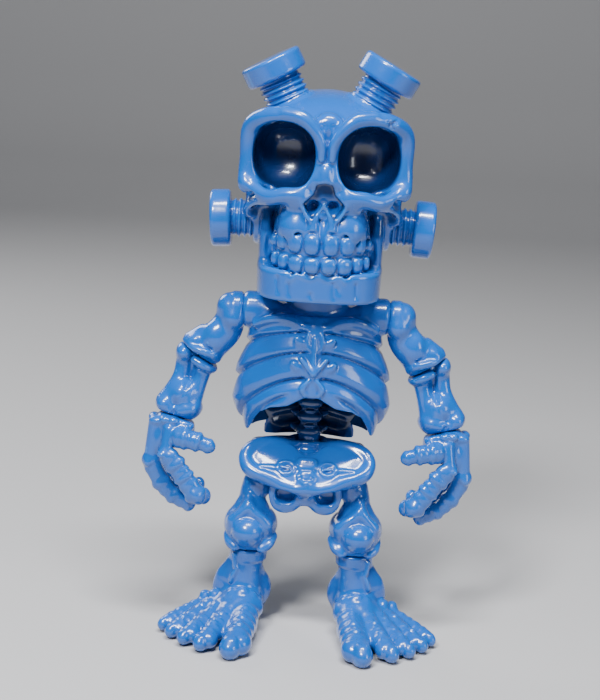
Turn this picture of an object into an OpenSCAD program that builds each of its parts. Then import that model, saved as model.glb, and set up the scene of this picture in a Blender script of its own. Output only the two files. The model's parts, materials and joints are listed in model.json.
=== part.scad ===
// Soft-vinyl skeleton figure, free standing, with turning head, waist and limbs.
// The figure faces -Y and stands on Z = 0. "Right" and "left" are the figure's own sides,
// so its right side is on -X. Every paired piece is drawn on the +X side and mirrored for the right.

/* [Overall] */
// Distance of the head, waist and leg axes behind the middle of the footprint
axis_y = 6.6; // [5:0.1:8]
// Wall of the hollow castings
wall = 2.4; // [1.8:0.1:2.8]
// Gap between pieces that turn against each other
gap = 0.3; // [0.2:0.05:0.5]
// Radial clearance of a turning peg in its bore
fit = 0.05; // [0.02:0.01:0.08]

/* [Skull] */
// Height of the underside of the chin
chin_z = 137.8; // [137:0.1:139]
// Height of the middle of the eye sockets
socket_z = 192; // [190:0.5:194]
// Half the distance between the eye sockets
socket_x = 15.6; // [14:0.1:17]
// Radius of the eye sockets
socket_r = 12; // [10:0.1:12.5]
// Radius of the dome
dome_r = 24; // [22:0.5:25]
// Radius of the neck bore
neck_bore_r = 10; // [8:0.1:11]

/* [Bolts] */
// Radius of the top bolt heads
top_head_r = 11.8; // [10:0.1:12.5]
// Thickness of the top bolt heads
top_head_h = 8; // [6:0.5:9]
// Outward lean of the top bolts
top_lean = 28.4; // [24:0.2:32]
// Radius of the side bolt heads
side_head_r = 11; // [9:0.1:12]
// Thickness of the side bolt heads
side_head_h = 7.9; // [6:0.1:8.5]
// Downward lean of the side bolts
side_lean = 4; // [0:0.5:6]

/* [Rib cage] */
// Height of the underside of the lowest band, at the sides
rib_low_z = 84; // [82:0.5:88]
// Height of the top of the belly arch
arch_z = 99; // [96:0.5:102]
// Width of the belly arch
arch_w = 45; // [40:0.5:47]
// Half width of the rib cage at its widest
rib_half_w = 30.7; // [28:0.1:31.5]
// Half depth of the rib cage at its deepest
rib_half_d = 21; // [19:0.5:22]

/* [Arms] */
// Half the distance between the shoulder balls
shoulder_x = 34.6; // [33:0.1:36]
// Height of the shoulder axis
shoulder_z = 129; // [126:0.1:129.5]
// Radius of the shoulder balls
shoulder_r = 6.2; // [6:0.1:6.8]
// Radius of the peg in each arm joint
arm_peg_r = 3.6; // [3:0.1:4]

/* [Legs] */
// Half the distance between the knees
knee_x = 20.8; // [20:0.1:22]
// Height of the hip axis
hip_z = 58; // [57:0.5:60]
// Height of the seam below the knee
knee_seam_z = 32; // [31:0.5:33]
// Radius of the peg in each leg joint
leg_peg_r = 4; // [3.5:0.1:4.5]

/* [Hidden] */
$fn = 48;
blend_fn = 28;
vinyl = [0.04, 0.22, 0.62];
vinyl_light = [0.06, 0.28, 0.72];
right = -1;
left = 1;
big = 400;

// Shared shapes -------------------------------------------------------------------------------

// Everything inside is drawn about the figure's own axis, and mirrored for its right side
module on_side(side) {
    translate([0, axis_y, 0]) mirror([side < 0 ? 1 : 0, 0, 0]) children();
}

// Moves to point p and turns +Z towards point q
module aim(p, q) {
    d = q - p;
    translate(p) rotate([0, acos(d[2] / norm(d)), atan2(d[1], d[0])]) children();
}

// Straight round shaft from p to q
module shaft(p, q, r1, r2) {
    aim(p, q) cylinder(h = norm(q - p), r1 = r1, r2 = r2);
}

// Round end of a bone
module knob(p, r) {
    translate(p) sphere(r);
}

// Chain of bone segments with a knob at every point but the first
module finger(points, radii) {
    for (i = [1 : len(points) - 1]) {
        shaft(points[i - 1], points[i], radii[i - 1] * 0.86, radii[i] * 0.86);
        knob(points[i], radii[i]);
    }
}

// Turning peg with a retaining rim, drawn up the Z axis from z = 0
module peg(r, length, rim = 1.2) {
    cylinder(h = length, r = r);
    translate([0, 0, length - 1.6]) cylinder(h = 1.6, r = r + rim);
}

// Skull ---------------------------------------------------------------------------------------

dome_c = [8, 3, 190];
plate_z = 143.4;
neck_seat_z = 138.4;
side_bolt_z = 164.2;
side_bolt_y = 2;
side_boss_x = 26;
top_bolt_y = -2;
top_head_x = 21.8;
top_head_z = 221.6;
top_axis = [sin(top_lean), 0, cos(top_lean)];
side_axis = [cos(side_lean), 0, -sin(side_lean)];
top_shank_r = 8.6;
top_shank_l = 9.5;
side_shank_r = 7.5;
side_shank_l = 9;
socket_d = 4;
plug_r = 4.5;
plug_l = 7;
top_foot = [top_head_x, top_bolt_y, top_head_z] - top_axis * (top_head_h / 2 + top_shank_l);
side_foot = [side_boss_x, side_bolt_y, side_bolt_z];
chin_r = 10;
upper_tooth_z = [156.9, 164.5];
lower_tooth_z = [149.6, 155.9];
tooth_arch_r = 13;
tooth_y = -31.2;

module dome() {
    hull() for (x = [-dome_c[0], dome_c[0]]) {
        translate([x, -1, dome_c[2]]) sphere(dome_r, $fn = blend_fn);
        translate([x, 9, dome_c[2] - 1]) sphere(dome_r, $fn = blend_fn);
        translate([x * 0.6, 12, 171]) sphere(16, $fn = blend_fn);
    }
}

module face() {
    hull() for (x = [-1, 1]) {
        translate([x * 22.6, -16, 198]) sphere(9, $fn = blend_fn);
        translate([x * 23, -15, 174]) sphere(8, $fn = blend_fn);
        translate([x * 10, -24, 172]) sphere(7, $fn = blend_fn);
        translate([x * 8, -20, 198]) sphere(9, $fn = blend_fn);
    }
}

module jaws() {
    hull() for (x = [-1, 1]) {
        translate([x * 13, -20, chin_z + chin_r]) sphere(chin_r, $fn = blend_fn);
        translate([x * 15.5, -4, 149]) sphere(8, $fn = blend_fn);
        translate([x * 12, -20, 168]) sphere(chin_r, $fn = blend_fn);
        translate([x * 15.5, -2, 170]) sphere(8, $fn = blend_fn);
    }
}

// Half a row of teeth on each side, round the front of the jaw
module teeth(z, r) {
    for (side = [-1, 1], i = [0 : 3]) {
        a = 9 + i * 16;
        translate([side * (3.4 + 0.92 * tooth_arch_r * sin(a)), tooth_y + tooth_arch_r * (1 - cos(a)), z[0]])
            cylinder(h = z[1] - z[0] - i * 0.5, r = r - i * 0.22);
    }
}

module skull_cavity() {
    rotate_extrude() polygon([[0, plate_z], [13, plate_z], [13, 156], [15.5, 168], [17.5, 182],
                              [16.5, 200], [8, 208], [0, 209]]);
}

module skull() {
    color(vinyl) translate([0, axis_y, 0]) difference() {
        union() {
            dome();
            face();
            jaws();
            translate([0, 0, neck_seat_z]) cylinder(h = 20, r = 15.4);
            for (side = [-1, 1])
                shaft([side * 10, side_bolt_y, side_bolt_z], [side * side_boss_x, side_bolt_y, side_bolt_z],
                      10.5, 9.4);
            teeth(upper_tooth_z, 3.1);
            teeth(lower_tooth_z, 2.9);
        }
        skull_cavity();
        translate([0, 0, neck_seat_z - 5]) cylinder(h = 12, r = neck_bore_r);
        translate([0, 0, neck_seat_z - 10]) cylinder(h = 10, r = 17);
        for (side = [-1, 1]) {
            translate([side * socket_x, -28, socket_z]) sphere(socket_r);
            translate([side * 3.3, -33, 174]) sphere(3.8);
            mirror([side < 0 ? 1 : 0, 0, 0]) {
                bolt_pocket(top_foot, top_axis, top_shank_r);
                bolt_pocket(side_foot, side_axis, side_shank_r);
            }
        }
        translate([0, -33, 180]) sphere(3.6);
    }
}

// Seat for a bolt's shank, with the hole for its plug
module bolt_pocket(foot, axis, r) {
    aim(foot, foot + axis) {
        translate([0, 0, -socket_d]) cylinder(h = 30, r = r + fit);
        translate([0, 0, -socket_d - 14]) cylinder(h = 15, r = plug_r + fit);
    }
}

// Bolt drawn up the Z axis from the bottom of its pocket
module bolt(shank_r, shank_l, head_r, head_h) {
    ridge = 2;
    turns = floor(shank_l / ridge);
    translate([0, 0, -plug_l]) cylinder(h = plug_l + 1, r = plug_r);
    cylinder(h = socket_d + shank_l, r = shank_r - 0.9);
    cylinder(h = socket_d, r = shank_r);
    for (i = [0 : turns - 1])
        translate([0, 0, socket_d + 0.7 + i * ridge]) {
            cylinder(h = 0.6, r1 = shank_r - 0.9, r2 = shank_r);
            translate([0, 0, 0.6]) cylinder(h = 0.6, r1 = shank_r, r2 = shank_r - 0.9);
        }
    translate([0, 0, socket_d + shank_l]) {
        cylinder(h = 1, r1 = head_r - 1, r2 = head_r);
        translate([0, 0, 1]) cylinder(h = head_h - 2, r = head_r);
        translate([0, 0, head_h - 1]) cylinder(h = 1, r1 = head_r, r2 = head_r - 1);
    }
}

module bolt_top(side) {
    color(vinyl_light) on_side(side) aim(top_foot - top_axis * socket_d, top_foot)
        bolt(top_shank_r, top_shank_l, top_head_r, top_head_h);
}

module bolt_side(side) {
    color(vinyl_light) on_side(side) aim(side_foot - side_axis * socket_d, side_foot)
        bolt(side_shank_r, side_shank_l, side_head_r, side_head_h);
}

// Rib cage ------------------------------------------------------------------------------------

split_y = 11;
bands = 6;
band_h = 7;
groove_d = 1;
top_z = 131;
boss_r = 7;
boss_in_x = 17;
boss_out_x = shoulder_x - shoulder_r - gap;
shoulder_y = -2;
collar_r = 12.6;

// Half width of the rib cage at height z: narrow at the collar bones, widest at the fifth rib
function rib_w(z) = rib_half_w - 7.5 * pow(max(0, (z - 95) / (top_z - 95)), 1.6) - (z < 90 ? 1 : 0);
// Half depth at height z
function rib_d(z) = rib_half_d - 5 * pow(max(0, (z - 95) / (top_z - 95)), 2);

// Flat outline with round sides
module oval(half_w, half_d) {
    square([2 * (half_w - half_d), 2 * half_d], center = true);
    for (x = [-1, 1]) translate([x * (half_w - half_d), 0]) circle(half_d);
}

module rib_shell() {
    for (i = [0 : bands - 1]) {
        z = rib_low_z + i * band_h + 0.7 * i;
        translate([0, 0, z]) linear_extrude(band_h)
            difference() {
                oval(rib_w(z), rib_d(z));
                oval(rib_w(z) - wall - groove_d, rib_d(z) - wall - groove_d);
            }
        translate([0, 0, z + band_h - 0.1]) linear_extrude(0.9)
            difference() {
                oval(rib_w(z) - groove_d, rib_d(z) - groove_d);
                oval(rib_w(z) - wall - groove_d - 0.8, rib_d(z) - wall - groove_d - 0.8);
            }
    }
    translate([0, 0, top_z - 2.5]) linear_extrude(2.5) oval(rib_w(top_z) - groove_d, rib_d(top_z));
}

// The back wall below the last rib, which closes the view through the belly down to the pelvis
skirt_low_z = 76.2;
skirt_half_w = 19.5;

module back_skirt() {
    translate([0, 0, skirt_low_z]) linear_extrude(rib_low_z - skirt_low_z + 0.5) intersection() {
        difference() {
            oval(rib_w(rib_low_z) - groove_d, rib_d(rib_low_z) - groove_d);
            oval(rib_w(rib_low_z) - wall - groove_d - 0.4, rib_d(rib_low_z) - wall - groove_d - 0.4);
        }
        translate([-skirt_half_w, 0]) square([2 * skirt_half_w, big]);
    }
}

// Opening below the front ribs
module belly_arch() {
    translate([0, -20, 0]) rotate([90, 0, 0]) linear_extrude(60, center = true) {
        translate([-arch_w / 2, rib_low_z - 10]) square([arch_w, arch_z - rib_low_z]);
        translate([0, arch_z - 10.5]) intersection() {
            translate([-arch_w / 2, 0]) square([arch_w, 11]);
            translate([0, -19]) circle(29.5);
        }
    }
}

module rib_cage_front() {
    color(vinyl) translate([0, axis_y, 0]) {
        difference() {
            union() {
                rib_shell();
                for (side = [-1, 1]) mirror([side < 0 ? 1 : 0, 0, 0]) {
                    shaft([boss_in_x, shoulder_y, shoulder_z], [boss_out_x, shoulder_y, shoulder_z],
                          boss_r, boss_r);
                    shaft([3, -16, 127.5], [22, -6, 129.5], 2.8, 3.2);
                }
                translate([0, -rib_d(128) - 1.6, 99.5]) cylinder(h = 28, r = 3.1);
                for (z = [103 : 6.4 : 128]) knob([0, -rib_d(z) - 1.4, z], 3.9);
            }
            translate([-big / 2, split_y, 0]) cube([big, big, big]);
            for (x = [-1, 1]) shaft([x * 8, shoulder_y, shoulder_z], [x * 40, shoulder_y, shoulder_z],
                                    arm_peg_r + fit, arm_peg_r + fit);
            for (x = [-1, 1]) shaft([x * 8, shoulder_y, shoulder_z], [x * boss_in_x, shoulder_y, shoulder_z],
                                    boss_r + 0.5, boss_r + 0.5);
            belly_arch();
        }
        translate([0, 0, top_z - 1]) cylinder(h = neck_seat_z - gap - top_z + 1, r = collar_r);
        translate([0, 0, neck_seat_z - gap - 1]) {
            cylinder(h = plate_z - neck_seat_z + 2 * gap + 1, r = neck_bore_r - fit);
            translate([0, 0, plate_z - neck_seat_z + 2 * gap + 1]) cylinder(h = 2.5, r = neck_bore_r + 1.6);
        }
    }
}

module rib_cage_back() {
    color(vinyl) translate([0, axis_y, 0]) {
        difference() {
            union() {
                rib_shell();
                back_skirt();
            }
            translate([-big / 2, split_y - big, 0]) cube([big, big, big]);
            translate([0, 0, top_z - 1]) cylinder(h = 8, r = collar_r);
        }
        for (side = [-1, 1]) mirror([side < 0 ? 1 : 0, 0, 0]) intersection() {
            translate([13, rib_half_d - 3.4, 116]) sphere(8);
            translate([-big / 2, rib_half_d - 4.4, 0]) cube([big, big, big]);
        }
    }
}

// Spine ---------------------------------------------------------------------------------------

spine_y = 8.5;
spine_r = 5;
spine_low_z = 76;
waist_peg_r = 4.4;
waist_bore_l = 9;
waist_block_r = 7;
vertebrae = 8;

module spine() {
    pitch = (top_z - 2.5 - spine_low_z) / vertebrae;
    color(vinyl) translate([0, axis_y + spine_y, 0]) {
        translate([0, 0, spine_low_z]) cylinder(h = top_z - 2.5 - spine_low_z, r = spine_r - 1.2);
        for (i = [0 : vertebrae - 1])
            translate([0, 0, spine_low_z + i * pitch]) cylinder(h = pitch * 0.62, r = spine_r);
        translate([0, 0, spine_low_z + 1]) mirror([0, 0, 1]) peg(waist_peg_r, waist_bore_l + gap + 3.2);
    }
}

// Pelvis --------------------------------------------------------------------------------------

waist_top_z = spine_low_z - gap;
hip_y = 2;
hip_in_x = 7.4;
hip_out_x = 13.2;
hip_block_r = 7;

module pelvis() {
    color(vinyl) translate([0, axis_y, 0]) difference() {
        union() {
            translate([0, spine_y, waist_top_z - waist_bore_l]) cylinder(h = waist_bore_l, r = waist_block_r);
            for (side = [-1, 1]) mirror([side < 0 ? 1 : 0, 0, 0]) {
                hull() {
                    knob_low([22.6, -4, 71.5], 3.6);
                    knob_low([16.5, 6, 74.6], 3.4);
                    knob_low([6, 11, 70], 4);
                    knob_low([11, 0, 62], 4.4);
                    knob_low([17, -9, 66.5], 3.4);
                }
                shaft([hip_in_x, hip_y, hip_z], [hip_out_x, hip_y, hip_z], hip_block_r, hip_block_r);
                shaft([0, -10.5, 62.4], [9, -8.5, 62.4], 3.3, 3.3);
                knob([4.6, -10.6, 62], 3.8);
                translate([7.6, -5.5, 54.4]) rotate([74, 0, -14]) rotate_extrude() translate([4.1, 0]) circle(1.7);
                shaft([9, -6, 60], [10, 1, 61], 3.5, 4);
            }
            translate([0, -1.5, 68.4]) sphere(4.6);
        }
        translate([0, spine_y, waist_top_z - waist_bore_l - 20]) cylinder(h = 40, r = waist_peg_r + fit);
        translate([0, spine_y, waist_top_z - waist_bore_l - 20]) cylinder(h = 20, r = waist_peg_r + 2);
        for (x = [-1, 1]) {
            shaft([x * (hip_in_x - 5), hip_y, hip_z], [x * 20, hip_y, hip_z],
                  leg_peg_r + fit, leg_peg_r + fit);
            shaft([x * 1, hip_y, hip_z], [x * hip_in_x, hip_y, hip_z], leg_peg_r + 1.7, leg_peg_r + 1.7);
            translate([x > 0 ? hip_out_x : -hip_out_x - 20, hip_y - 12, hip_z - 9.4]) cube([20, 24, 18.8]);
        }
    }
}

module knob_low(p, r) {
    translate(p) sphere(r, $fn = 20);
}

// Arms ----------------------------------------------------------------------------------------

shoulder = [shoulder_x, shoulder_y, shoulder_z];
elbow = [44.8, 0, 109.8];
arm_lean = 33;
arm_belly = [34.8, -1.4, 120.6];
arm_belly_r = 6.4;
arm_dir = [sin(arm_lean), 0, -cos(arm_lean)];
wrist = [52.2, -4, 85.2];
hand_lean = 16.5;
hand_dir = [sin(hand_lean), -0.1, -cos(hand_lean)] / norm([sin(hand_lean), -0.1, -cos(hand_lean)]);
elbow_peg_l = 9;
wrist_peg_l = 7;

module upper_arm(side) {
    color(vinyl_light) on_side(side) {
        difference() {
            union() {
                knob(shoulder, shoulder_r);
                knob(shoulder + [1.5, -4.6, -3], 4);
                knob(arm_belly, arm_belly_r);
                shaft(shoulder - [0, 0, 2], arm_belly, 5.4, arm_belly_r);
                shaft(arm_belly, elbow - arm_dir * 6, arm_belly_r, arm_belly_r);
                intersection() {
                    union() {
                        knob(elbow - arm_dir * 5 + [3.9, 0, 2.9], 5);
                        knob(elbow - arm_dir * 4.6 - [3.4, 0, 2.4], 5.2);
                        shaft(elbow - arm_dir * 8, elbow, 7, 8);
                    }
                    aim(elbow, elbow - arm_dir) translate([0, 0, gap / 2]) cylinder(h = 20, r = 20);
                }
            }
            aim(elbow + arm_dir * 3, elbow) cylinder(h = elbow_peg_l + 5, r = arm_peg_r + fit);
            aim(elbow - arm_dir * elbow_peg_l, elbow - arm_dir * 20) cylinder(h = 3.2, r = arm_peg_r + 1.6);
        }
        translate([boss_out_x + gap + 1.6, shoulder_y, shoulder_z]) rotate([0, -90, 0])
            peg(arm_peg_r, boss_out_x + gap + 1.6 - boss_in_x + gap + 1.6);
    }
}

module forearm(side) {
    u = hand_dir;
    color(vinyl) on_side(side) {
        difference() {
            union() {
                intersection() {
                    union() {
                        shaft(elbow, elbow + arm_dir * 5, 8.2, 7);
                        knob(elbow + arm_dir * 3 + [4, -1, 1.6], 5.4);
                        knob(elbow + arm_dir * 3 - [3.2, 1, 2], 5.2);
                    }
                    aim(elbow, elbow + arm_dir) translate([0, 0, gap / 2]) cylinder(h = 20, r = 20);
                }
                shaft(elbow + arm_dir * 4.5 + [3, -1, 0], wrist - u * 3 + [3, -1, 0], 4, 4.2);
                shaft(elbow + arm_dir * 4.5 + [-3, 1, 0], wrist - u * 3 + [-3.4, 1, -0.6], 4, 3.8);
                intersection() {
                    union() {
                        knob(wrist - u * 3 + [3.6, 0, 1], 5.2);
                        knob(wrist - u * 3 + [-3.6, 0, -1], 5);
                        shaft(wrist - u * 6, wrist, 5.2, 7);
                    }
                    aim(wrist, wrist - u) translate([0, 0, gap / 2]) cylinder(h = 20, r = 20);
                }
            }
            aim(wrist + u * 3, wrist) cylinder(h = wrist_peg_l + 4.5, r = arm_peg_r - 0.6 + fit);
            aim(wrist - u * wrist_peg_l, wrist - u * 20) cylinder(h = 2.8, r = arm_peg_r + 0.8);
        }
        aim(elbow + arm_dir * 1.5, elbow) peg(arm_peg_r, elbow_peg_l + 1.5 + 2.4);
    }
}

module hand(side) {
    u = hand_dir;
    finger_pitch = 5.4;
    color(vinyl_light) on_side(side) {
        intersection() {
            union() {
                shaft(wrist, wrist + u * 6, 7, 6);
                knob(wrist + u * 4 + [3.6, -1, 0], 5);
                knob(wrist + u * 4 + [-3, -2, 0], 4.6);
            }
            aim(wrist, wrist + u) translate([0, 0, gap / 2]) cylinder(h = 20, r = 20);
        }
        hull() {
            translate(wrist + u * 7) sphere(4.6, $fn = blend_fn);
            for (i = [0, 3]) translate([60, -13.8 + i * finger_pitch, 68]) sphere(4.2, $fn = blend_fn);
        }
        for (i = [0 : 3]) {
            k = [60.8 - 0.5 * abs(i - 1), -13.9 + i * finger_pitch, 66.5];
            finger([k, k + [-2.4, 0, -9], k + [-10.4, 0, -14.4 + i * 0.4], k + [-22 + i * 0.8, 0, -15.2 + i * 0.5]],
                   [2.9, 2.62, 2.6, 2.5]);
        }
        finger([wrist + u * 4 + [-1, -3, 0], [49.6, -11.5, 78.2], [44.6, -13.2, 78.3], [39.2, -14, 77.6]],
               [4.6, 4.3, 3.9, 3.4]);
        aim(wrist + u * 1.5, wrist) peg(arm_peg_r - 0.6, wrist_peg_l + 1.5 + 2.2, 1.1);
    }
}

// Legs ----------------------------------------------------------------------------------------

hip = [hip_out_x + gap, hip_y, hip_z];
knee_peg_l = 8;
ankle = [24, 0, 14.6];
toe_tips = [[25.6, -40.9, 3.9], [36.8, -36.4, 3.4], [43.6, -30.6, 3.1], [49, -24.4, 2.9], [53.4, -18, 2.7]];
toe_radii = [5.2, 3.7, 3.3, 3.1, 2.9];

module thigh(side) {
    color(vinyl_light) on_side(side) {
        difference() {
            union() {
                intersection() {
                    union() {
                        knob([19.4, hip_y, hip_z + 0.4], 6.8);
                        shaft(hip, [19, hip_y, hip_z], 6.4, 6.6);
                    }
                    translate([hip[0], -big / 2, 0]) cube([big, big, big]);
                }
                shaft([19.6, hip_y, hip_z], [knee_x, 0, 42], 5.6, 8.4);
                intersection() {
                    union() {
                        shaft([knee_x, 0, 45], [knee_x, 0, knee_seam_z], 7.8, 9.6);
                        knob([knee_x + 5, -1, 39], 6.4);
                        knob([knee_x - 4.8, -1, 39], 6.2);
                        knob([knee_x, -7.4, 41], 5.8);
                    }
                    translate([-big / 2, -big / 2, knee_seam_z + gap / 2]) cube([big, big, big]);
                }
            }
            translate([knee_x, 0, 0]) cylinder(h = knee_seam_z + knee_peg_l + 4, r = leg_peg_r + fit);
            translate([knee_x, 0, knee_seam_z + knee_peg_l]) cylinder(h = 3.4, r = leg_peg_r + 1.6);
        }
        translate([hip[0] + 1.6, hip_y, hip_z]) rotate([0, -90, 0])
            peg(leg_peg_r, hip[0] + 1.6 - hip_in_x + gap + 1.6);
    }
}

module lower_leg(side) {
    color(vinyl) on_side(side) {
        intersection() {
            union() {
                shaft([knee_x, 0, knee_seam_z - gap / 2], [knee_x + 0.6, 0, 26], 8.8, 7);
                shaft([knee_x + 0.4, 0, 28], ankle, 6.8, 8);
                knob(ankle + [8, 1, 0.6], 5.4);
                knob(ankle + [-7.6, -1, 0], 5.4);
                shaft(ankle + [-1, 6, -2], [23, 8, 4], 6, 8);
                hull() {
                    translate([20.4, -3, 6.6]) sphere(7, $fn = blend_fn);
                    translate([30, -3, 6]) sphere(6.6, $fn = blend_fn);
                    translate([24, -22, 5]) sphere(5.6, $fn = blend_fn);
                    translate([38, -14, 4.4]) sphere(4.8, $fn = blend_fn);
                    translate([23, 8, 6]) sphere(6.6, $fn = blend_fn);
                }
                for (i = [0 : 4]) {
                    a = ankle + [i * 1.6 - 2, -4, -4];
                    b = a + (toe_tips[i] - a) * 0.62 + [0, 0, 3];
                    c = a + (toe_tips[i] - a) * 0.84 + [0, 0, 1.4];
                    finger([a, b, c, toe_tips[i]],
                           [4.4, toe_radii[i] * 0.96, toe_radii[i] * 0.98, toe_radii[i]]);
                }
            }
            translate([-big / 2, -big / 2, 0]) cube([big, big, knee_seam_z - gap / 2]);
        }
        translate([knee_x, 0, knee_seam_z - gap / 2 - 2]) peg(leg_peg_r, 2 + gap / 2 + knee_peg_l + 2.4);
    }
}

skull();
bolt_top(right);  // bolt_top_right
bolt_top(left);  // bolt_top_left
bolt_side(right);  // bolt_side_right
bolt_side(left);  // bolt_side_left
rib_cage_front();
rib_cage_back();
spine();
pelvis();
upper_arm(right);  // upper_arm_right
upper_arm(left);  // upper_arm_left
forearm(right);  // forearm_right
forearm(left);  // forearm_left
hand(right);  // hand_right
hand(left);  // hand_left
thigh(right);  // thigh_right
thigh(left);  // thigh_left
lower_leg(right);  // lower_leg_right
lower_leg(left);  // lower_leg_left
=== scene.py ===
import json
import math
from collections import namedtuple

import bmesh
import bpy
import numpy as np
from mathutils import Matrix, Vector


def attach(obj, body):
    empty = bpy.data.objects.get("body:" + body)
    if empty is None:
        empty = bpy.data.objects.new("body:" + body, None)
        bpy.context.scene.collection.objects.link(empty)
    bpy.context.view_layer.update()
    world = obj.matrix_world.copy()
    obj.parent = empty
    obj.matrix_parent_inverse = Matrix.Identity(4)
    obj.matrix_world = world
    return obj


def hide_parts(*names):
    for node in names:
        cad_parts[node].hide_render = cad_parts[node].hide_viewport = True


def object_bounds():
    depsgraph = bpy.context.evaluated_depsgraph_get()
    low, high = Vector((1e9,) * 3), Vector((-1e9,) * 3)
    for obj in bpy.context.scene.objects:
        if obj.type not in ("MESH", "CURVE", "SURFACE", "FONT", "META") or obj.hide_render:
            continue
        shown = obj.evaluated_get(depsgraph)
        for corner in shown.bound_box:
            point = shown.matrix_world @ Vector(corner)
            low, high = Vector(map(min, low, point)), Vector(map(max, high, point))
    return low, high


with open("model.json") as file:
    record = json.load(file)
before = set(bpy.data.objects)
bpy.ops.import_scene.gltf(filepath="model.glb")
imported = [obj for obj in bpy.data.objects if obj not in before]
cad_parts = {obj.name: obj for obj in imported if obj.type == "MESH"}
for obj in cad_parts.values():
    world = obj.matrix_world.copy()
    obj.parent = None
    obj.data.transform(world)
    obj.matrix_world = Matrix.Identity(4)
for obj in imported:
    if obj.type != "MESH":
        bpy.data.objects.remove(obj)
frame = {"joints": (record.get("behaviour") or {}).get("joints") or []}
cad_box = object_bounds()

import openvdb
from mathutils import Matrix, Vector

# ----------------------------------------
# SKULL
# The head is one thick rotocast shell of glossy blue vinyl: dome, orbits, cheekbones, both jaws
# and all the teeth come out of one mould. It was sculpted as a solid, so it is sculpted here the
# same way: lumps of clay are added to and cut from a block, and the skin is meshed at the end.
# ----------------------------------------
MM = 0.001
FAR = 6.0

joints = {joint["name"]: joint for joint in frame["joints"]}
axis_y = joints["neck_turn"]["pos_m"][1] / MM

Lump = namedtuple("Lump", "low high distance")


def lump(centre, reach, distance):
    """A lump of clay round a centre, with how far it reaches and its distance function, in mm."""
    centre = np.array(centre, float)
    return Lump(centre - reach, centre + reach, distance)


def turned(x, y, z, centre, turn):
    """Grid points in the axes of a lump that is turned about its centre (degrees about X, Y, Z)."""
    dx, dy, dz = x - centre[0], y - centre[1], z - centre[2]
    if turn is None:
        return dx, dy, dz
    spin = [Matrix.Rotation(math.radians(angle), 3, axis) for angle, axis in zip(turn, "XYZ")]
    m = np.array(spin[2] @ spin[1] @ spin[0], np.float32).T
    return tuple(m[i][0] * dx + m[i][1] * dy + m[i][2] * dz for i in range(3))


def egg(centre, radii, turn=None, power=2.0):
    """An ellipsoid, or with a higher power a fuller, squarer lozenge."""
    def distance(x, y, z):
        u, v, w = (abs(c) / r for c, r in zip(turned(x, y, z, centre, turn), radii))
        if power == 2.0:
            size = np.sqrt(u * u + v * v + w * w)
            slope = np.sqrt((u / radii[0]) ** 2 + (v / radii[1]) ** 2 + (w / radii[2]) ** 2)
            return size * (size - 1.0) / np.maximum(slope, 1e-4)
        size = (u ** power + v ** power + w ** power) ** (1.0 / power)
        return (size - 1.0) * min(radii)
    return lump(centre, max(radii), distance)


def bar(a, b, ra, rb=None):
    """A round bar from a to b with rounded ends, ra thick at a and rb at b."""
    a, b = np.array(a, float), np.array(b, float)
    rb = ra if rb is None else rb
    run = b - a
    length2 = float(run @ run) or 1e-9

    def distance(x, y, z):
        t = ((x - a[0]) * run[0] + (y - a[1]) * run[1] + (z - a[2]) * run[2]) / length2
        t = np.clip(t, 0.0, 1.0)
        gap = (x - a[0] - t * run[0]) ** 2 + (y - a[1] - t * run[1]) ** 2 + (z - a[2] - t * run[2]) ** 2
        return np.sqrt(gap) - (ra + (rb - ra) * t)
    thick = max(ra, rb)
    return Lump(np.minimum(a, b) - thick, np.maximum(a, b) + thick, distance)


def curve(points, closed=False, steps=5):
    """A smooth run of points through a few given ones; a fourth number, the thickness, runs along."""
    p = np.array(points, float)
    ends = (p[-1:], p[:2]) if closed else (2 * p[:1] - p[1:2], 2 * p[-1:] - p[-2:-1])
    q = np.concatenate([ends[0], p, ends[1]])
    out = []
    for i in range(1, len(q) - 2):
        for t in np.linspace(0, 1, steps, endpoint=False):
            out.append(0.5 * (2 * q[i] + (q[i + 1] - q[i - 1]) * t
                              + (2 * q[i - 1] - 5 * q[i] + 4 * q[i + 1] - q[i + 2]) * t ** 2
                              + (3 * q[i] - q[i - 1] - 3 * q[i + 1] + q[i + 2]) * t ** 3))
    if not closed:
        out.append(p[-1])
    return np.array(out)


def strand(points, thick=None, closed=False, steps=5):
    """A ridge or groove along a smooth curve. Points are x, y, z and, without thick, a radius."""
    p = np.array(points, float)
    if thick is not None:
        p = np.column_stack([p, np.full(len(p), thick)])
    p = curve(p, closed, steps)
    if closed:
        p = np.concatenate([p, p[:1]])
    bars = [bar(a[:3], b[:3], a[3], b[3]) for a, b in zip(p[:-1], p[1:])]

    def distance(x, y, z):
        near = bars[0].distance(x, y, z)
        for one in bars[1:]:
            np.minimum(near, one.distance(x, y, z), out=near)
        return near
    return Lump(np.min([one.low for one in bars], 0), np.max([one.high for one in bars], 0), distance)


def drum(a, b, r, edge=0.6):
    """A straight round drum from a to b with its edges rounded off."""
    a, b = np.array(a, float), np.array(b, float)
    half = np.linalg.norm(b - a) / 2
    n, mid = (b - a) / (2 * half), (a + b) / 2

    def distance(x, y, z):
        dx, dy, dz = x - mid[0], y - mid[1], z - mid[2]
        along = dx * n[0] + dy * n[1] + dz * n[2]
        out = np.sqrt(np.maximum(dx * dx + dy * dy + dz * dz - along * along, 0))
        u, v = out - (r - edge), abs(along) - (half - edge)
        return np.hypot(np.maximum(u, 0), np.maximum(v, 0)) + np.minimum(np.maximum(u, v), 0) - edge
    return Lump(mid - half - r, mid + half + r, distance)


def flipped(one):
    """The same lump on the figure's other side."""
    low, high = one.low.copy(), one.high.copy()
    low[0], high[0] = -one.high[0], -one.low[0]
    return Lump(low, high, lambda x, y, z: one.distance(-x, y, z))


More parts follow.
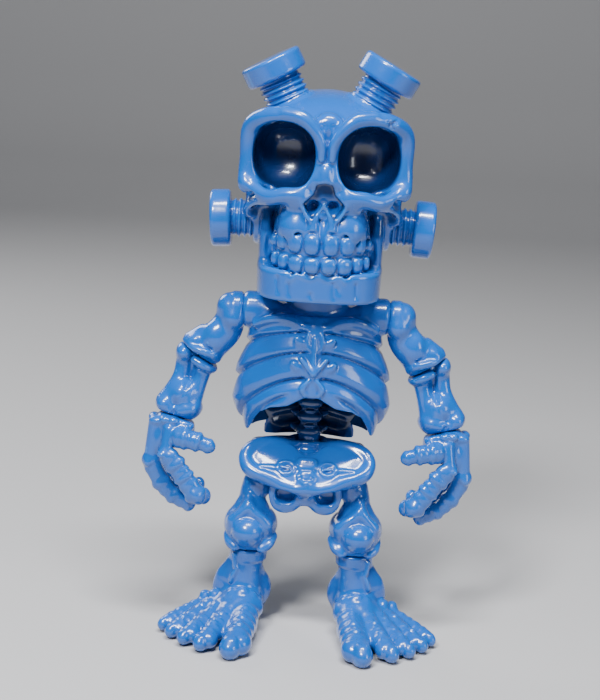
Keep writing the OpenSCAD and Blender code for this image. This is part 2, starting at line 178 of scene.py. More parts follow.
class Clay:
    """A block of clay on a fine grid. Every voxel holds its distance to the skin in millimetres."""

    def __init__(self, low, high, step):
        self.step = step
        self.origin = np.array(low, float)
        count = np.ceil((np.array(high, float) - self.origin) / step).astype(int) + 1
        self.axes = [(self.origin[i] + step * np.arange(count[i])).astype(np.float32) for i in range(3)]
        self.field = np.full(count, FAR, np.float32)
        self.hollows = []

    def window(self, one, margin):
        spans = []
        for axis, a, b in zip(self.axes, one.low - margin, one.high + margin):
            first = max(int((a - axis[0]) / self.step), 0)
            last = min(int((b - axis[0]) / self.step) + 2, len(axis))
            spans.append(slice(first, max(last, first)))
        x, y, z = (axis[span] for axis, span in zip(self.axes, spans))
        return tuple(spans), x[:, None, None], y[None, :, None], z[None, None, :]

    def add(self, one, blend=1.0, both=False):
        """Adds a lump, and pulls the clay into a fillet about as wide as blend."""
        spans, x, y, z = self.window(one, blend + 1.5)
        d = one.distance(x, y, z)
        f = self.field[spans]
        fillet = np.maximum(blend - abs(f - d), 0)
        self.field[spans] = np.minimum(f, d) - fillet * fillet / (4 * blend)
        if both:
            self.add(flipped(one), blend)

    def cut(self, one, blend=0.6, both=False):
        """Cuts a lump out of the clay, with the edge rounded over by about blend."""
        spans, x, y, z = self.window(one, blend + 1.5)
        d = -one.distance(x, y, z)
        f = self.field[spans]
        fillet = np.maximum(blend - abs(f - d), 0)
        self.field[spans] = np.maximum(f, d) + fillet * fillet / (4 * blend)
        if both:
            self.cut(flipped(one), blend)

    def press(self, one, depth, soft, both=False):
        """Sinks the skin by depth inside a lump (or raises it, with a negative depth), softly."""
        spans, x, y, z = self.window(one, soft)
        t = np.clip(0.5 - one.distance(x, y, z) / (2 * soft), 0, 1)
        self.field[spans] += depth * t * t * (3 - 2 * t)
        if both:
            self.press(flipped(one), depth, soft)

    def trim(self, axis, level, keep=1, blend=0.5):
        """Cuts the clay off flat at a level, and keeps the side above (1) or below (-1)."""
        shape = [1, 1, 1]
        shape[axis] = -1
        d = keep * (level - self.axes[axis].reshape(shape))
        fillet = np.maximum(blend - abs(self.field - d), 0)
        self.field = np.maximum(self.field, d) + fillet * fillet / (4 * blend)

    def paint_shade(self, one, front=-99.0, both=False, strength=1.0):
        """Marks a hollow whose skin gets painted shade, a near-black navy, from a front plane (Y) back."""
        self.hollows.append((one, front, strength))
        if both:
            self.paint_shade(flipped(one), front, False, strength)

    def shade(self, points):
        """How much painted shade the hollows give each point of the skin, from 0 to 1."""
        x, y, z = (points[:, i] for i in range(3))
        dark = np.zeros(len(points))
        for one, front, strength in self.hollows:
            inside = np.clip(0.7 - one.distance(x, y, z) / 0.8, 0, 1) * np.clip((y - front) / 2, 0, 1)
            dark = np.maximum(dark, inside * strength)
        return dark

    def front_at(self, x, z):
        """How far forward (towards -Y) the clay comes at x and z."""
        i, k = (int(round((v - self.origin[n]) / self.step)) for v, n in ((x, 0), (z, 2)))
        solid = np.flatnonzero(self.field[i, :, k] < 0)
        return float(self.axes[1][solid[0]]) if len(solid) else 0.0

    def top_at(self, x, y):
        """How high the clay comes at x and y."""
        i, j = (int(round((v - self.origin[n]) / self.step)) for v, n in ((x, 0), (y, 1)))
        solid = np.flatnonzero(self.field[i, j, :] < 0)
        return float(self.axes[2][solid[-1]]) if len(solid) else 0.0

    def skin(self):
        """Meshes the skin: points in metres and four-sided faces."""
        grid = openvdb.FloatGrid(FAR)
        grid.copyFromArray(np.clip(self.field, -FAR, FAR).astype(np.float32))
        points, quads = grid.convertToQuads(0.0)
        points = points.astype(float) * self.step + self.origin
        return points * MM, quads


def casting(name, clay, node, body, mirrored=False):
    """Turns clay into a finished vinyl piece that stands for a CAD node and rides on its body."""
    points, quads = clay.skin()
    dark = clay.shade(points / MM)
    if mirrored:
        points, quads = points * (-1, 1, 1), quads[:, ::-1]
    points = points + (0, axis_y * MM, 0)
    mesh = bpy.data.meshes.new(name)
    mesh.vertices.add(len(points))
    mesh.vertices.foreach_set("co", points.astype(np.float32).ravel())
    mesh.loops.add(quads.size)
    mesh.loops.foreach_set("vertex_index", quads.astype(np.int32).ravel())
    mesh.polygons.add(len(quads))
    mesh.polygons.foreach_set("loop_start", np.arange(0, quads.size, 4, dtype=np.int32))
    mesh.update(calc_edges=True)
    mesh.shade_smooth()
    # The hollows' painted shade rides on the mesh as a point attribute
    mesh.attributes.new("hollow", "FLOAT", "POINT").data.foreach_set("value", dark.astype(np.float32))
    mesh.materials.append(blue_vinyl)
    piece = bpy.data.objects.new(name, mesh)
    bpy.context.scene.collection.objects.link(piece)
    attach(piece, body)
    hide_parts(node)
    return piece


def both_sides(name, clay):
    """Casts a limb twice: the left one as it is sculpted, and the right one as its mirror image."""
    for side in ("left", "right"):
        node = name + "_" + side
        casting(node + "_casting", clay, node, node, side == "right")


def group(name, inputs, outputs):
    """An empty node group with named sockets, and its two end nodes."""
    tree = bpy.data.node_groups.new(name, "ShaderNodeTree")
    for socket, kind, value in inputs:
        made = tree.interface.new_socket(socket, in_out="INPUT", socket_type=kind)
        made.default_value = value
    for socket, kind in outputs:
        tree.interface.new_socket(socket, in_out="OUTPUT", socket_type=kind)
    return tree, tree.nodes.new("NodeGroupInput"), tree.nodes.new("NodeGroupOutput")


def wired(tree, kind, links=None, **values):
    """A new node with its settings, its constant inputs, and its wires."""
    made = tree.nodes.new(kind)
    for name, value in values.items():
        setattr(made, name, value)
    for socket, value in (links or {}).items():
        if isinstance(value, bpy.types.NodeSocket):
            tree.links.new(value, made.inputs[socket])
        else:
            made.inputs[socket].default_value = value
    return made


def times(tree, a, b):
    """The product of two values."""
    return wired(tree, "ShaderNodeMath", {0: a, 1: b}, operation="MULTIPLY").outputs[0]


def mixed(tree, share, a, b):
    """One colour mixed into another by a share."""
    made = wired(tree, "ShaderNodeMix", {"Factor": share, "A": a, "B": b}, data_type="RGBA")
    return made.outputs["Result"]


# How a casting's skin undulates: faint sink marks, and the mould's fine orange peel
skin_group, skin_in, skin_out = group("casting_skin",
                                      [("Sink", "NodeSocketFloat", 1.0), ("Peel", "NodeSocketFloat", 0.25)],
                                      [("Height", "NodeSocketFloat"), ("Cloud", "NodeSocketFloat")])
place = wired(skin_group, "ShaderNodeTexCoord").outputs["Object"]
sink = wired(skin_group, "ShaderNodeTexNoise", {"Vector": place, "Scale": 95.0, "Detail": 2.0})
peel = wired(skin_group, "ShaderNodeTexNoise", {"Vector": place, "Scale": 900.0, "Detail": 3.0})
cloud = wired(skin_group, "ShaderNodeTexNoise", {"Vector": place, "Scale": 42.0, "Detail": 4.0})
deep = times(skin_group, sink.outputs["Fac"], skin_in.outputs["Sink"])
fine = times(skin_group, peel.outputs["Fac"], skin_in.outputs["Peel"])
both = wired(skin_group, "ShaderNodeMath", {0: deep, 1: fine}, operation="ADD")
skin_group.links.new(both.outputs[0], skin_out.inputs["Height"])
skin_group.links.new(cloud.outputs["Fac"], skin_out.inputs["Cloud"])

# Painted light from the mesh's curvature: a painted highlight, lighter blue, on sharp edges, and painted
# shade, darker blue, in creases
edge_light_group, edge_light_in, edge_light_out = group("edge_highlight_and_crease_shade", [("Sharpness", "NodeSocketFloat", 1.0)],
                                      [("Edge", "NodeSocketFloat"), ("Crease", "NodeSocketFloat")])
bend = wired(edge_light_group, "ShaderNodeNewGeometry").outputs["Pointiness"]
edge = wired(edge_light_group, "ShaderNodeMapRange", {"Value": bend, "From Min": 0.515, "From Max": 0.58})
crease = wired(edge_light_group, "ShaderNodeMapRange", {"Value": bend, "From Min": 0.485, "From Max": 0.42})
edge = times(edge_light_group, edge.outputs[0], edge_light_in.outputs["Sharpness"])
crease = times(edge_light_group, crease.outputs[0], edge_light_in.outputs["Sharpness"])
edge_light_group.links.new(edge, edge_light_out.inputs["Edge"])
edge_light_group.links.new(crease, edge_light_out.inputs["Crease"])

# The vinyl: one saturated blue, slightly see-through, with a wet-looking gloss; painted highlight on sharp
# edges, painted shade in creases and marked hollows
blue_vinyl = bpy.data.materials.new("blue_vinyl")
blue_vinyl.use_nodes = True
tree = blue_vinyl.node_tree
vinyl = tree.nodes["Principled BSDF"]
skin = wired(tree, "ShaderNodeGroup", node_tree=skin_group)
skin.inputs["Sink"].default_value = 1.0
skin.inputs["Peel"].default_value = 0.12
edge_light = wired(tree, "ShaderNodeGroup", node_tree=edge_light_group)
edge_light.inputs["Sharpness"].default_value = 0.8
tone = mixed(tree, skin.outputs["Cloud"], (0.002, 0.088, 0.40, 1), (0.003, 0.108, 0.46, 1))
# Painted highlight: a lighter blue on sharp edges
tone = mixed(tree, edge_light.outputs["Edge"], tone, (0.008, 0.17, 0.58, 1))
# Painted shade: a dark navy in creases
tone = mixed(tree, edge_light.outputs["Crease"], tone, (0.001, 0.03, 0.18, 1))
# Painted shade: the marked hollows take a near-black navy
hollow = wired(tree, "ShaderNodeAttribute", attribute_name="hollow")
tone = mixed(tree, hollow.outputs["Fac"], tone, (0.002, 0.010, 0.055, 1))
gloss = wired(tree, "ShaderNodeMapRange", {"Value": skin.outputs["Cloud"], "From Min": 0.3, "From Max": 0.7,
                                           "To Min": 0.2, "To Max": 0.3})
bump = wired(tree, "ShaderNodeBump", {"Height": skin.outputs["Height"], "Strength": 0.35,
                                      "Distance": 0.0006})
tree.links.new(tone, vinyl.inputs["Base Color"])
tree.links.new(gloss.outputs[0], vinyl.inputs["Roughness"])
tree.links.new(bump.outputs["Normal"], vinyl.inputs["Normal"])
vinyl.inputs["Subsurface Weight"].default_value = 0.06
vinyl.inputs["Subsurface Radius"].default_value = (0.3, 0.6, 1.0)
vinyl.inputs["Subsurface Scale"].default_value = 0.0015
vinyl.inputs["Coat Weight"].default_value = 0.8
vinyl.inputs["Coat Roughness"].default_value = 0.07
vinyl.inputs["IOR"].default_value = 1.5


# The block of clay for the head, in mm about the figure's own axis
skull = Clay((-34, -36, 135), (34, 37, 217), 0.62)
skull.add(egg((0, 4, 189), (30.5, 31, 25.5)), 1)
skull.add(egg((0, -8, 196), (27.5, 18, 15)), 6)
skull.add(egg((0, 13, 171), (22, 19, 19)), 8)
skull.add(drum((0, 0, 138.4), (0, 0, 160), 15.4, 1.5), 3)
skull.add(egg((23.6, -11, 190), (8.2, 11, 15.5)), 3, both=True)
skull.press(egg((32, 4, 190), (9, 16, 13)), 1.2, 5, both=True)

# Middle of the face, nose bones and the orbits' heavy rims
skull.add(egg((0, -11, 178), (21, 15, 15)), 5)
skull.add(bar((0, -24, 203), (0, -26.5, 187), 4.4, 3.2), 3)
skull.add(egg((0, -27.5, 182.5), (5.2, 4.2, 6)), 2)
skull.add(egg((9, -25.5, 176), (6.5, 5, 5)), 3, both=True)
orbit_rim = [(14.5, -27.4, 206.2, 3.2), (22.5, -24, 205.2, 3.4), (28.2, -18.6, 200.5, 3.6),
             (29.2, -17.6, 190, 2.9), (28.6, -18.8, 180.6, 3.0), (20.5, -25.4, 176.4, 2.4),
             (11.5, -28.2, 178.6, 2.0), (5.2, -28.2, 184.6, 1.9), (3.2, -28.0, 191.5, 1.8),
             (3.6, -29.8, 198.8, 2.2), (8.2, -29.6, 204.4, 2.8)]
skull.add(strand(orbit_rim, closed=True), 2.4, both=True)
skull.add(egg((29.6, -19.0, 179.8), (2.4, 3.2, 3.2)), 2.2, both=True)
skull.add(egg((24.5, -7, 176), (5.2, 11, 9)), 2, both=True)
brow = [(16, -28.0, 207.4, 2.2), (9.6, -30.2, 206.2, 2.4), (5.0, -31.0, 202.0, 2.0),
        (2.3, -31.0, 197.4, 1.6), (1.9, -30.2, 191.6, 1.3)]
skull.add(strand(brow), 1.0, both=True)
skull.add(egg((0, -29.6, 185.6), (2.6, 2.2, 4.4)), 1.0)
skull.cut(egg((15.6, -24, 191.2), (11.9, 16, 12.9), (0, 0, 6), 2.3), 1.6, both=True)

# Cheekbones run from beside the nose to the side bolts, with a dark hollow under each
cheekbone = [(8.5, -28.6, 177.6, 2.4), (14.5, -27.6, 177.6, 2.6), (19, -25, 175.6, 2.8),
             (24, -18.5, 172.2, 3.0), (27.4, -9, 168.8, 3.2), (26, 0, 167, 3.6)]
skull.add(strand(cheekbone), 2.2, both=True)
skull.cut(egg((27.2, -21.5, 176), (2.6, 3.4, 1.4), (0, 20, 0)), 0.8, both=True)
skull.add(drum((8, 2, 164.2), (26, 2, 164.2), 9.8, 1.2), 3, both=True)

# Dark hollow behind each cheekbone, and the upper jaw's two bulges between them
skull.cut(egg((21.2, -20, 166.8), (7.2, 10.5, 6.4), (0, 24, -16)), 1.6, both=True)
skull.add(egg((0, -14, 163), (16.4, 16.0, 10.5), power=2.4), 2)
skull.add(egg((9.4, -19.6, 165.4), (8.0, 10.6, 9.2)), 2.4, both=True)
skull.add(egg((0, -4, 156), (19.6, 17, 9), power=2.6), 1)


def slab(centre, half_w, half_d, low, high, power, edge):
    """An upright block with a full, round-cornered plan and its top and bottom edges rounded off."""
    def distance(x, y, z):
        across, back = abs(x - centre[0]) / half_w, abs(y - centre[1]) / half_d
        plan = (across ** power + back ** power) ** (1 / power)
        u = (plan - 1) * min(half_w, half_d) + edge
        v = abs(z - (low + high) / 2) - (high - low) / 2 + edge
        return np.hypot(np.maximum(u, 0), np.maximum(v, 0)) + np.minimum(np.maximum(u, v), 0) - edge
    reach = np.array((half_w, half_d))
    return Lump(np.append(centre - reach, low), np.append(centre + reach, high), distance)


# Lower jaw: a block with a D-shaped plan and a flat underside, and the two branches up its sides
skull.add(slab(np.array((0, -7.6)), 23.4, 23.2, 137.8, 149.8, 3.4, 1.5), 0.8)
skull.add(egg((21.0, -4, 157), (2.7, 10.5, 17), power=3.0), 1.5, both=True)

# The jaws' tooth beds and the teeth, set along one arch
arch_centre = -14.0
arch_w = 18.4
arch_d = 17.6
skull.add(slab(np.array((0, -13.6)), 16.9, 16.4, 146, 160, 2.4, 2), 1.0)
skull.cut(egg((18.9, -21, 156.5), (1.5, 8, 6.2), (0, 0, -8)), 0.7, both=True)


def on_arch(x):
    """How far forward the tooth arch runs at x, and the way it faces there, in degrees."""
    c = math.sqrt(1 - (x / arch_w) ** 2)
    return arch_centre - arch_d * c, math.degrees(math.atan2(x / arch_w ** 2, c / arch_d))


def tooth(x, low, high, width, deep=2.1):
    """A squared-off tooth that stands on the arch and faces out of it."""
    y, facing = on_arch(x)
    return egg((x, y + 1.0, (low + high) / 2), (width / 2, deep, (high - low) / 2), (0, 0, facing), 2.7)


upper_teeth = [(3.5, 156.0, 164.0, 5.7), (9.5, 156.4, 163.4, 5.9), (14.2, 156.8, 162.6, 4.6),
               (17.0, 157.2, 161.6, 3.4)]
lower_teeth = [(3.1, 149.2, 155.4, 5.7), (9.0, 149.0, 155.3, 5.6), (13.5, 149.2, 155.5, 4.4),
               (16.4, 150.0, 155.6, 3.2)]
for x, low, high, width in upper_teeth:
    y, facing = on_arch(x)
    root = bar((x * 1.01, y + 1.3, high - 1), (x * 0.88, y + 2.0, high + 8.0), width * 0.36, 1.4)
    skull.add(root, 1.2, both=True)
    skull.cut(egg((x, y + 0.1, high - 1.6), (width * 0.56, 1.2, 2.7), (0, 0, facing)), 0.6, both=True)
for x, low, high, width in lower_teeth:
    y, facing = on_arch(x)
    skull.cut(egg((x, y + 0.1, low + 1), (width * 0.6, 1.7, 2.4), (0, 0, facing)), 0.5, both=True)
for x, low, high, width in upper_teeth + lower_teeth:
    skull.add(tooth(x, low, high, width), 0.35, both=True)
bite = [(x, on_arch(x)[0] + 0.1, 155.75 + 0.012 * abs(x)) for x in (-17.4, -14, -9, -4, 0, 4, 9, 14, 17.4)]
skull.cut(strand(bite, 0.45), 0.5)

# Nose opening: a spade-shaped hole with a raised edge and a peak in the middle of its lower edge
nose = [(0, 183.2), (3.3, 182.4), (4.3, 178.6), (8.1, 174.9), (4.1, 168.6), (0, 175.6)]


def nose_hole(inset=0.0):
    """Straight hole through the face with the nose opening's outline."""
    def distance(x, y, z):
        u = abs(x) + 0 * z
        near, inside = np.full(u.shape, 99.0, np.float32), np.zeros(u.shape, bool)
        for (ax, az), (bx, bz) in zip(nose, nose[1:]):
            share = ((u - ax) * (bx - ax) + (z - az) * (bz - az)) / ((bx - ax) ** 2 + (bz - az) ** 2)
            t = np.clip(share, 0, 1)
            near = np.minimum(near, np.hypot(u - ax - t * (bx - ax), z - az - t * (bz - az)))
            inside ^= ((az > z) != (bz > z)) & (u < (bx - ax) * (z - az) / (bz - az) + ax)
        flat = np.where(inside, -near, near) + inset
        return np.maximum(flat, abs(y + 34) - 7.5)
    return Lump(np.array((-9, -42, 167.0)), np.array((9, -26, 184.5)), distance)


for side in (1, -1):
    edge = [(side * a, -28.6 - 1.6 * (z < 178), z) for a, z in nose]
    skull.add(strand(edge, 0.75, steps=3), 1.2)
skull.cut(nose_hole(0.5), 0.7)
skull.cut(egg((3.6, -27.5, 173.6), (2.2, 5, 2.4), (0, -35, 0)), 0.6, both=True)

# Brow: a three-cornered dent over the nose, and a crack across one rim. Chin: a ragged gum line
skull.add(egg((0, -26.8, 204), (5, 3.2, 4)), 2.5)
skull.cut(bar((-1.6, -31.2, 203.6), (0, -31.8, 199.2), 1.5, 0.7), 0.5, both=True)
skull.cut(strand([(20.6, -28.4, 202.6, 0.3), (22.6, -27.6, 205.0, 0.75), (25.2, -25.6, 207.0, 0.4)]), 0.4)
skull.cut(strand([(21.4, -27.8, 206.2, 0.3), (22.8, -27.2, 204.6, 0.6), (24.0, -26.0, 203.6, 0.3)]), 0.4)
gum = [(-9.8, 146.8), (-8.8, 148.6), (-6.2, 147.8), (-3.4, 147.0), (-0.6, 148.4), (2.4, 147.0), (5.4, 147.2),
       (7.8, 148.5), (9.4, 146.6)]
skull.add(strand([(x, skull.front_at(x, 145) + 0.1, z, 0.6) for x, z in gum], steps=3), 0.5)
for x, z, drop in ((-15.5, 147, 6), (-11.2, 145, 5), (5.2, 146, 6), (6.8, 144.4, 2), (13.6, 146, 5.4),
                   (-3, 141.5, 2)):
    y = skull.front_at(x, z - drop / 2)
    skull.cut(bar((x, y - 0.3, z), (x + 0.5, y - 0.3, z - drop), 0.42, 0.3), 0.8)

# Underside: a recess over the neck's collar, and the neck's bore with room for its flange
skull.trim(2, 137.8, 1, 0.8)
skull.cut(drum((0, 0, 130), (0, 0, 138.5), 14.2, 0.3), 0.4)
skull.cut(drum((0, 0, 130), (0, 0, 149), 10.2, 0.2), 0.3)
skull.cut(drum((0, 0, 143.4), (0, 0, 150), 12.2, 0.3), 0.3)

# Pockets that the bolts' shanks sit in. A bolt leans out from upright by lean degrees. Its foot is
# where the shank leaves the skull's pad: a side bolt gives it, and a top bolt gives its head's middle
BoltSize = namedtuple("BoltSize", "at lean shank_r shank_l head_r head_h")
bolt_sizes = {"top": BoltSize((21.8, -2, 221.6), 28.4, 8.6, 9.5, 11.8, 8.0),
              "side": BoltSize((26, 2, 164.2), 94, 7.5, 9.0, 11.0, 7.9)}
pocket = 4.0


def bolt_place(kind):
    """Bottom of a left-hand bolt's pocket and the way that the bolt points."""
    size = bolt_sizes[kind]
    lean = math.radians(size.lean)
    way = np.array((math.sin(lean), 0, math.cos(lean)))
    foot = np.array(size.at, float)
    if kind == "top":
        foot -= way * (size.head_h / 2 + size.shank_l)
    return foot - way * pocket, way


for kind in ("top", "side"):
    start, way = bolt_place(kind)
    r = bolt_sizes[kind].shank_r
    skull.add(drum(start, start + way * (pocket + 0.2), r + 1.1, 0.8), 1.6, both=True)
    skull.cut(drum(start, start + way * 20, r + 0.15, 0.1), 0.5, both=True)
    skull.cut(drum(start - way * 8, start + way, 4.65, 0.1), 0.3, both=True)
# Painted shade: the eye sockets in full, the hollows behind the cheekbones at half strength and the nose
# opening at 0.7 get the near-black navy tint
socket_hollow = egg((15.6, -24, 191.2), (12.1, 16.2, 13.1), (0, 0, 6), 2.3)
skull.paint_shade(socket_hollow, -24.5, both=True)
skull.paint_shade(egg((20.8, -18, 167.5), (6.4, 9.5, 6.6), (0, 24, -16)), both=True, strength=0.5)
skull.paint_shade(nose_hole(0.2), strength=0.7)
skull_shell = casting("skull_shell", skull, "skull", "head")


# ----------------------------------------
# BOLTS
# Four thick round-headed bolts are separate castings, glued into pockets: two lean out of the crown
# and two out of the sides. A real thread winds round each shank, with its crests worn round.
# ----------------------------------------
thread_pitch = 2.15


def thread(r, low, high):
    """A shank with a rounded helical thread, drawn up the Z axis."""
    def distance(x, y, z):
        turn = np.arctan2(y, x) / (2 * math.pi)
        wave = np.cos(2 * math.pi * (z / thread_pitch - turn))
        fade = np.clip((z - low - 0.4) / 0.8, 0, 1) * np.clip((high - 1.3 - z) / 0.8, 0, 1)
        skin = r - 0.55 + fade * (0.55 * wave + 0.1) - (1 - fade) * 0.2
        return np.maximum((np.hypot(x, y) - skin) * 0.8, np.maximum(low - z, z - high))
    return Lump(np.array((-r - 1, -r - 1, low)), np.array((r + 1, r + 1, high)), distance)


for kind in ("top", "side"):
    head_r, head_h, shank_r = bolt_sizes[kind].head_r, bolt_sizes[kind].head_h, bolt_sizes[kind].shank_r
    start, way = bolt_place(kind)
    shoulder = pocket + bolt_sizes[kind].shank_l
    bolt = Clay((-head_r - 1, -head_r - 1, -8), (head_r + 1, head_r + 1, shoulder + head_h + 1), 0.4)
    bolt.add(drum((0, 0, -7), (0, 0, 1), 4.45, 0.5), 0.3)
    bolt.add(drum((0, 0, 0), (0, 0, pocket + 0.6), shank_r, 0.3), 0.3)
    bolt.add(thread(shank_r, pocket, shoulder + 0.5), 0.4)
    bolt.add(drum((0, 0, shoulder), (0, 0, shoulder + head_h), head_r, 1.35), 0.7)
    bolt.press(egg((0, 0, shoulder + head_h + 0.6), (head_r * 0.7, head_r * 0.7, 1.4)), 0.35, 1.2)
    frame_of_bolt = Vector(way).to_track_quat("Z", "Y").to_matrix().to_4x4()
    for side in ("left", "right"):
        node = "bolt_" + kind + "_" + side
        piece = casting(node + "_casting", bolt, node, "head")
        piece.data.transform(Matrix.Translation((0, -axis_y * MM, 0)))
        seat = Matrix.Translation(Vector(start) * MM + Vector((0, axis_y * MM, 0)))
        piece.data.transform(seat @ frame_of_bolt)
        if side == "right":
            piece.data.transform(Matrix.Scale(-1, 4, (1, 0, 0)))
            piece.data.flip_normals()


# ----------------------------------------
# RIB CAGE, FRONT SHELL
# One thick casting: breastbone, collar bones, shoulder bosses and five pairs of ribs run into one
# skin, with a rounded groove between each rib and the next. The belly is an open arch below it.
# ----------------------------------------
cage_w = ([75, 79, 82, 88, 94, 103, 114, 118, 125, 129, 134],
          [23.6, 24.8, 25.8, 28.8, 30.9, 30.4, 27.6, 26.4, 25.4, 24.4, 21])
cage_d = ([75, 79, 90, 100, 115, 124, 129, 134], [17.4, 17.8, 20, 21, 20, 17.8, 16, 13])
cage_seam_y = 11.0
cage_wall = 2.5
rib_profile = ([98, 103, 105.6, 106.9, 107.9, 110, 112.9, 115.3, 116.6, 117.5, 119, 120.8, 122.8, 124.1,
                125.0, 129],
               [0, 0, -0.9, -2.4, 0.1, 0.5, 0, -0.8, -2.3, 0.1, 0.4, 0, -0.8, -2.2, 0.1, 0])
low_rib = ([97.8, 99.8, 101.2, 102.1], [0, -0.7, -1.9, 0])


def cage(inset, ribbed=True):
    """The barrel of the rib cage. The ribs sweep down towards its sides and up again behind."""
    def distance(x, y, z):
        w, d = np.interp(z, *cage_w), np.interp(z, *cage_d)
        out = np.hypot(x, y) + 1e-3
        skin = 1 / np.sqrt((x / out / w) ** 2 + (y / out / d) ** 2)
        near = out - skin
        if ribbed:
            front = np.clip(-y / out, -1, 1)
            sweep = np.where(front > 0, (1 - front) ** 1.3, 1 + 0.55 * front)
            level = (z + 111.7 * sweep) / (1 + 0.831 * sweep)
            fade = np.clip((abs(x) - 8) / 5, 0, 1)
            near = near - np.interp(level, *rib_profile) - fade * np.interp(level, *low_rib)
        near = (near + inset) * 0.9
        return np.maximum(near, np.maximum(z - (130.4 - inset), 75 - z))
    return Lump(np.array((-33, -24, 74.0)), np.array((33, 24, 132.0)), distance)


def belly_arch(x, y, z):
    """How far a point is below the front shell's lower edge, which drops to a point at each side."""
    edge = np.interp(abs(x), [0, 4, 9, 15.8, 19.7, 22.1, 23.9, 25.2, 27],
                     [99.6, 98.4, 95.3, 93.6, 90.6, 86.2, 81.4, 81, 82.4])
    slope = np.interp(abs(x), [0, 9, 15.8, 19, 22, 24, 25], [0.92, 0.93, 0.85, 0.6, 0.42, 0.6, 1.0])
    edge = np.where(y > 2, np.maximum(81.6 + 0 * x, edge - 3.0 * (y - 2)), edge)
    return (z - edge) * slope


front = Clay((-33, -25, 78), (33, 14, 146), 0.52)
front.add(cage(0), 0.5)
front.cut(Lump(np.array((-33, -25, 78.0)), np.array((33, 14, 104.0)), belly_arch), 1.4)

# Collar bones: thick cones that run in from the shoulder bosses, over the raised edge of the first ribs
front.cut(egg((0, -6, 132.5), (16, 9.5, 4.6)), 2.0)
front.add(strand([(25, -2.4, 129.6, 5.6), (19, -4, 130.2, 4.2), (13, -6.4, 129.4, 3.0),
                  (7, -9.6, 127.6, 2.2)]), 2.5, both=True)
front.add(strand([(23, -9.5, 124.8, 1.4), (18.6, -12.6, 127.4, 1.7), (13.4, -14.2, 128.6, 1.8),
                  (8, -15.6, 127.9, 1.6), (4, -16.4, 125.8, 1.5)]), 2.0, both=True)

# Breastbone: its ridge forks into a V, and the ribs' gristle joins it in pairs of knobs
front.add(strand([(0, -14.6, 125.2, 3.6), (0, -17.0, 119, 2.9), (0, -18.4, 111, 3.2), (0, -19.0, 105, 2.8),
                  (0, -19.2, 100.4, 2.4)]), 1.8)
front.add(strand([(0, -19.3, 122.6, 0.5), (0, -20.5, 117, 0.8), (0, -21.6, 111, 0.9)]), 1.2)
front.add(strand([(4.8, -20.2, 114.6, 0.9), (2.9, -21.2, 112.4, 0.9), (0, -22.0, 109.4, 1.1)]), 1.0,
          both=True)
front.add(strand([(2.5, -18.4, 123.8, 0.9), (2.9, -19.2, 121, 0.9), (2.4, -19.9, 118.4, 0.6)]), 0.8,
          both=True)
front.add(strand([(1.6, -21.6, 106.4, 0.7), (3.6, -21.4, 103.2, 1.3), (2.7, -21.3, 100.8, 0.9)]), 1.0,
          both=True)
for x, y, z, r in ((6.4, -19.8, 111.2, 1.5), (5.6, -18.6, 120.6, 1.5), (6.8, -18.6, 122, 1.0),
                   (7.6, -20.0, 112.6, 0.9), (4.0, -17.0, 126.2, 1.2)):
    front.add(egg((x, y, z), (r * 1.3, r * 0.8, r)), 1.2, both=True)
for z, depth in ((124.3, 17.0), (116.7, 19.4), (107.0, 20.6)):
    front.cut(egg((4.9, -depth - 0.9, z), (1.7, 1.3, 0.9)), 0.9, both=True)
front.cut(egg((0, -20.4, 98.2), (3.0, 4, 1.2)), 1.2)

# Hollow inside, the shoulder bosses with their bores, and the neck post with its retaining flange
front.cut(cage(cage_wall + 1.0, ribbed=False), 0.8)
front.add(drum((16.5, -2, 129), (28.0, -2, 129), 7.1, 1.5), 1.8, both=True)
front.cut(drum((8, -2, 129), (29, -2, 129), 3.7, 0.1), 0.4, both=True)
front.add(drum((0, 0, 127), (0, 0, 138.1), 12.6, 0.8), 2.2)
front.add(drum((0, 0, 136), (0, 0, 146.2), 9.9, 0.3), 0.4)
front.add(drum((0, 0, 143.8), (0, 0, 146.2), 11.5, 0.6), 0.4)
front.trim(1, cage_seam_y - 0.1, -1, 0.35)
front.trim(2, 145.9, -1, 0.3)
# Painted shade on the inside walls of the front shell
front.paint_shade(cage(cage_wall + 0.2, ribbed=False), strength=0.6)
rib_front = casting("rib_cage_front_shell", front, "rib_cage_front", "torso")


# ----------------------------------------
# RIB CAGE, BACK SHELL AND SPINE
# The back shell closes the barrel behind a seam at the sides, with the shoulder blades and a row of
# spinous knobs outside and raised ribs inside. The spine is a separate column of fat vertebrae.
# ----------------------------------------
back = Clay((-33, 9, 73), (33, 27, 134), 0.52)
back.add(cage(0), 0.5)


def back_edge(x, y, z):
    """How far a point is below the back shell's lower edge, which reaches down to the pelvis."""
    return np.interp(abs(x), [0, 18.5, 20.5, 22.5, 24], [75.9, 75.9, 77.5, 81, 81.6]) + 0 * y - z


back.cut(Lump(np.array((-33, 9, 73.0)), np.array((33, 27, 90.0)), lambda x, y, z: -back_edge(x, y, z)), 0.9)
back.add(egg((13, 18.2, 117), (8.4, 3.0, 11), (8, 14, -28)), 2.4, both=True)
back.add(strand([(19.5, 15, 124, 1.4), (12.5, 19.6, 121.4, 1.6), (6.4, 21.0, 117.5, 1.0)]), 1.2, both=True)
back.cut(egg((12, 22.2, 115.5), (3.4, 1.7, 4.6), (0, 14, -28)), 1.6, both=True)
back.add(strand([(0, 15, 128.5, 2.6), (0, 18.6, 112, 2.8), (0, 19, 97, 2.8), (0, 17.4, 85, 2.6)]), 2.2)
for i in range(8):
    z = 126.5 - 5.6 * i
    y = float(np.interp(z, *cage_d))
    back.add(egg((0, y + 0.9, z), (2.3, 2.4, 1.9), (-24, 0, 0)), 1.0)
    back.add(egg((3.9, y + 0.1, z + 0.5), (2.4, 1.2, 1.3), (0, -20, 0)), 0.9, both=True)
back.cut(cage(cage_wall + 1.0, ribbed=False), 0.8)
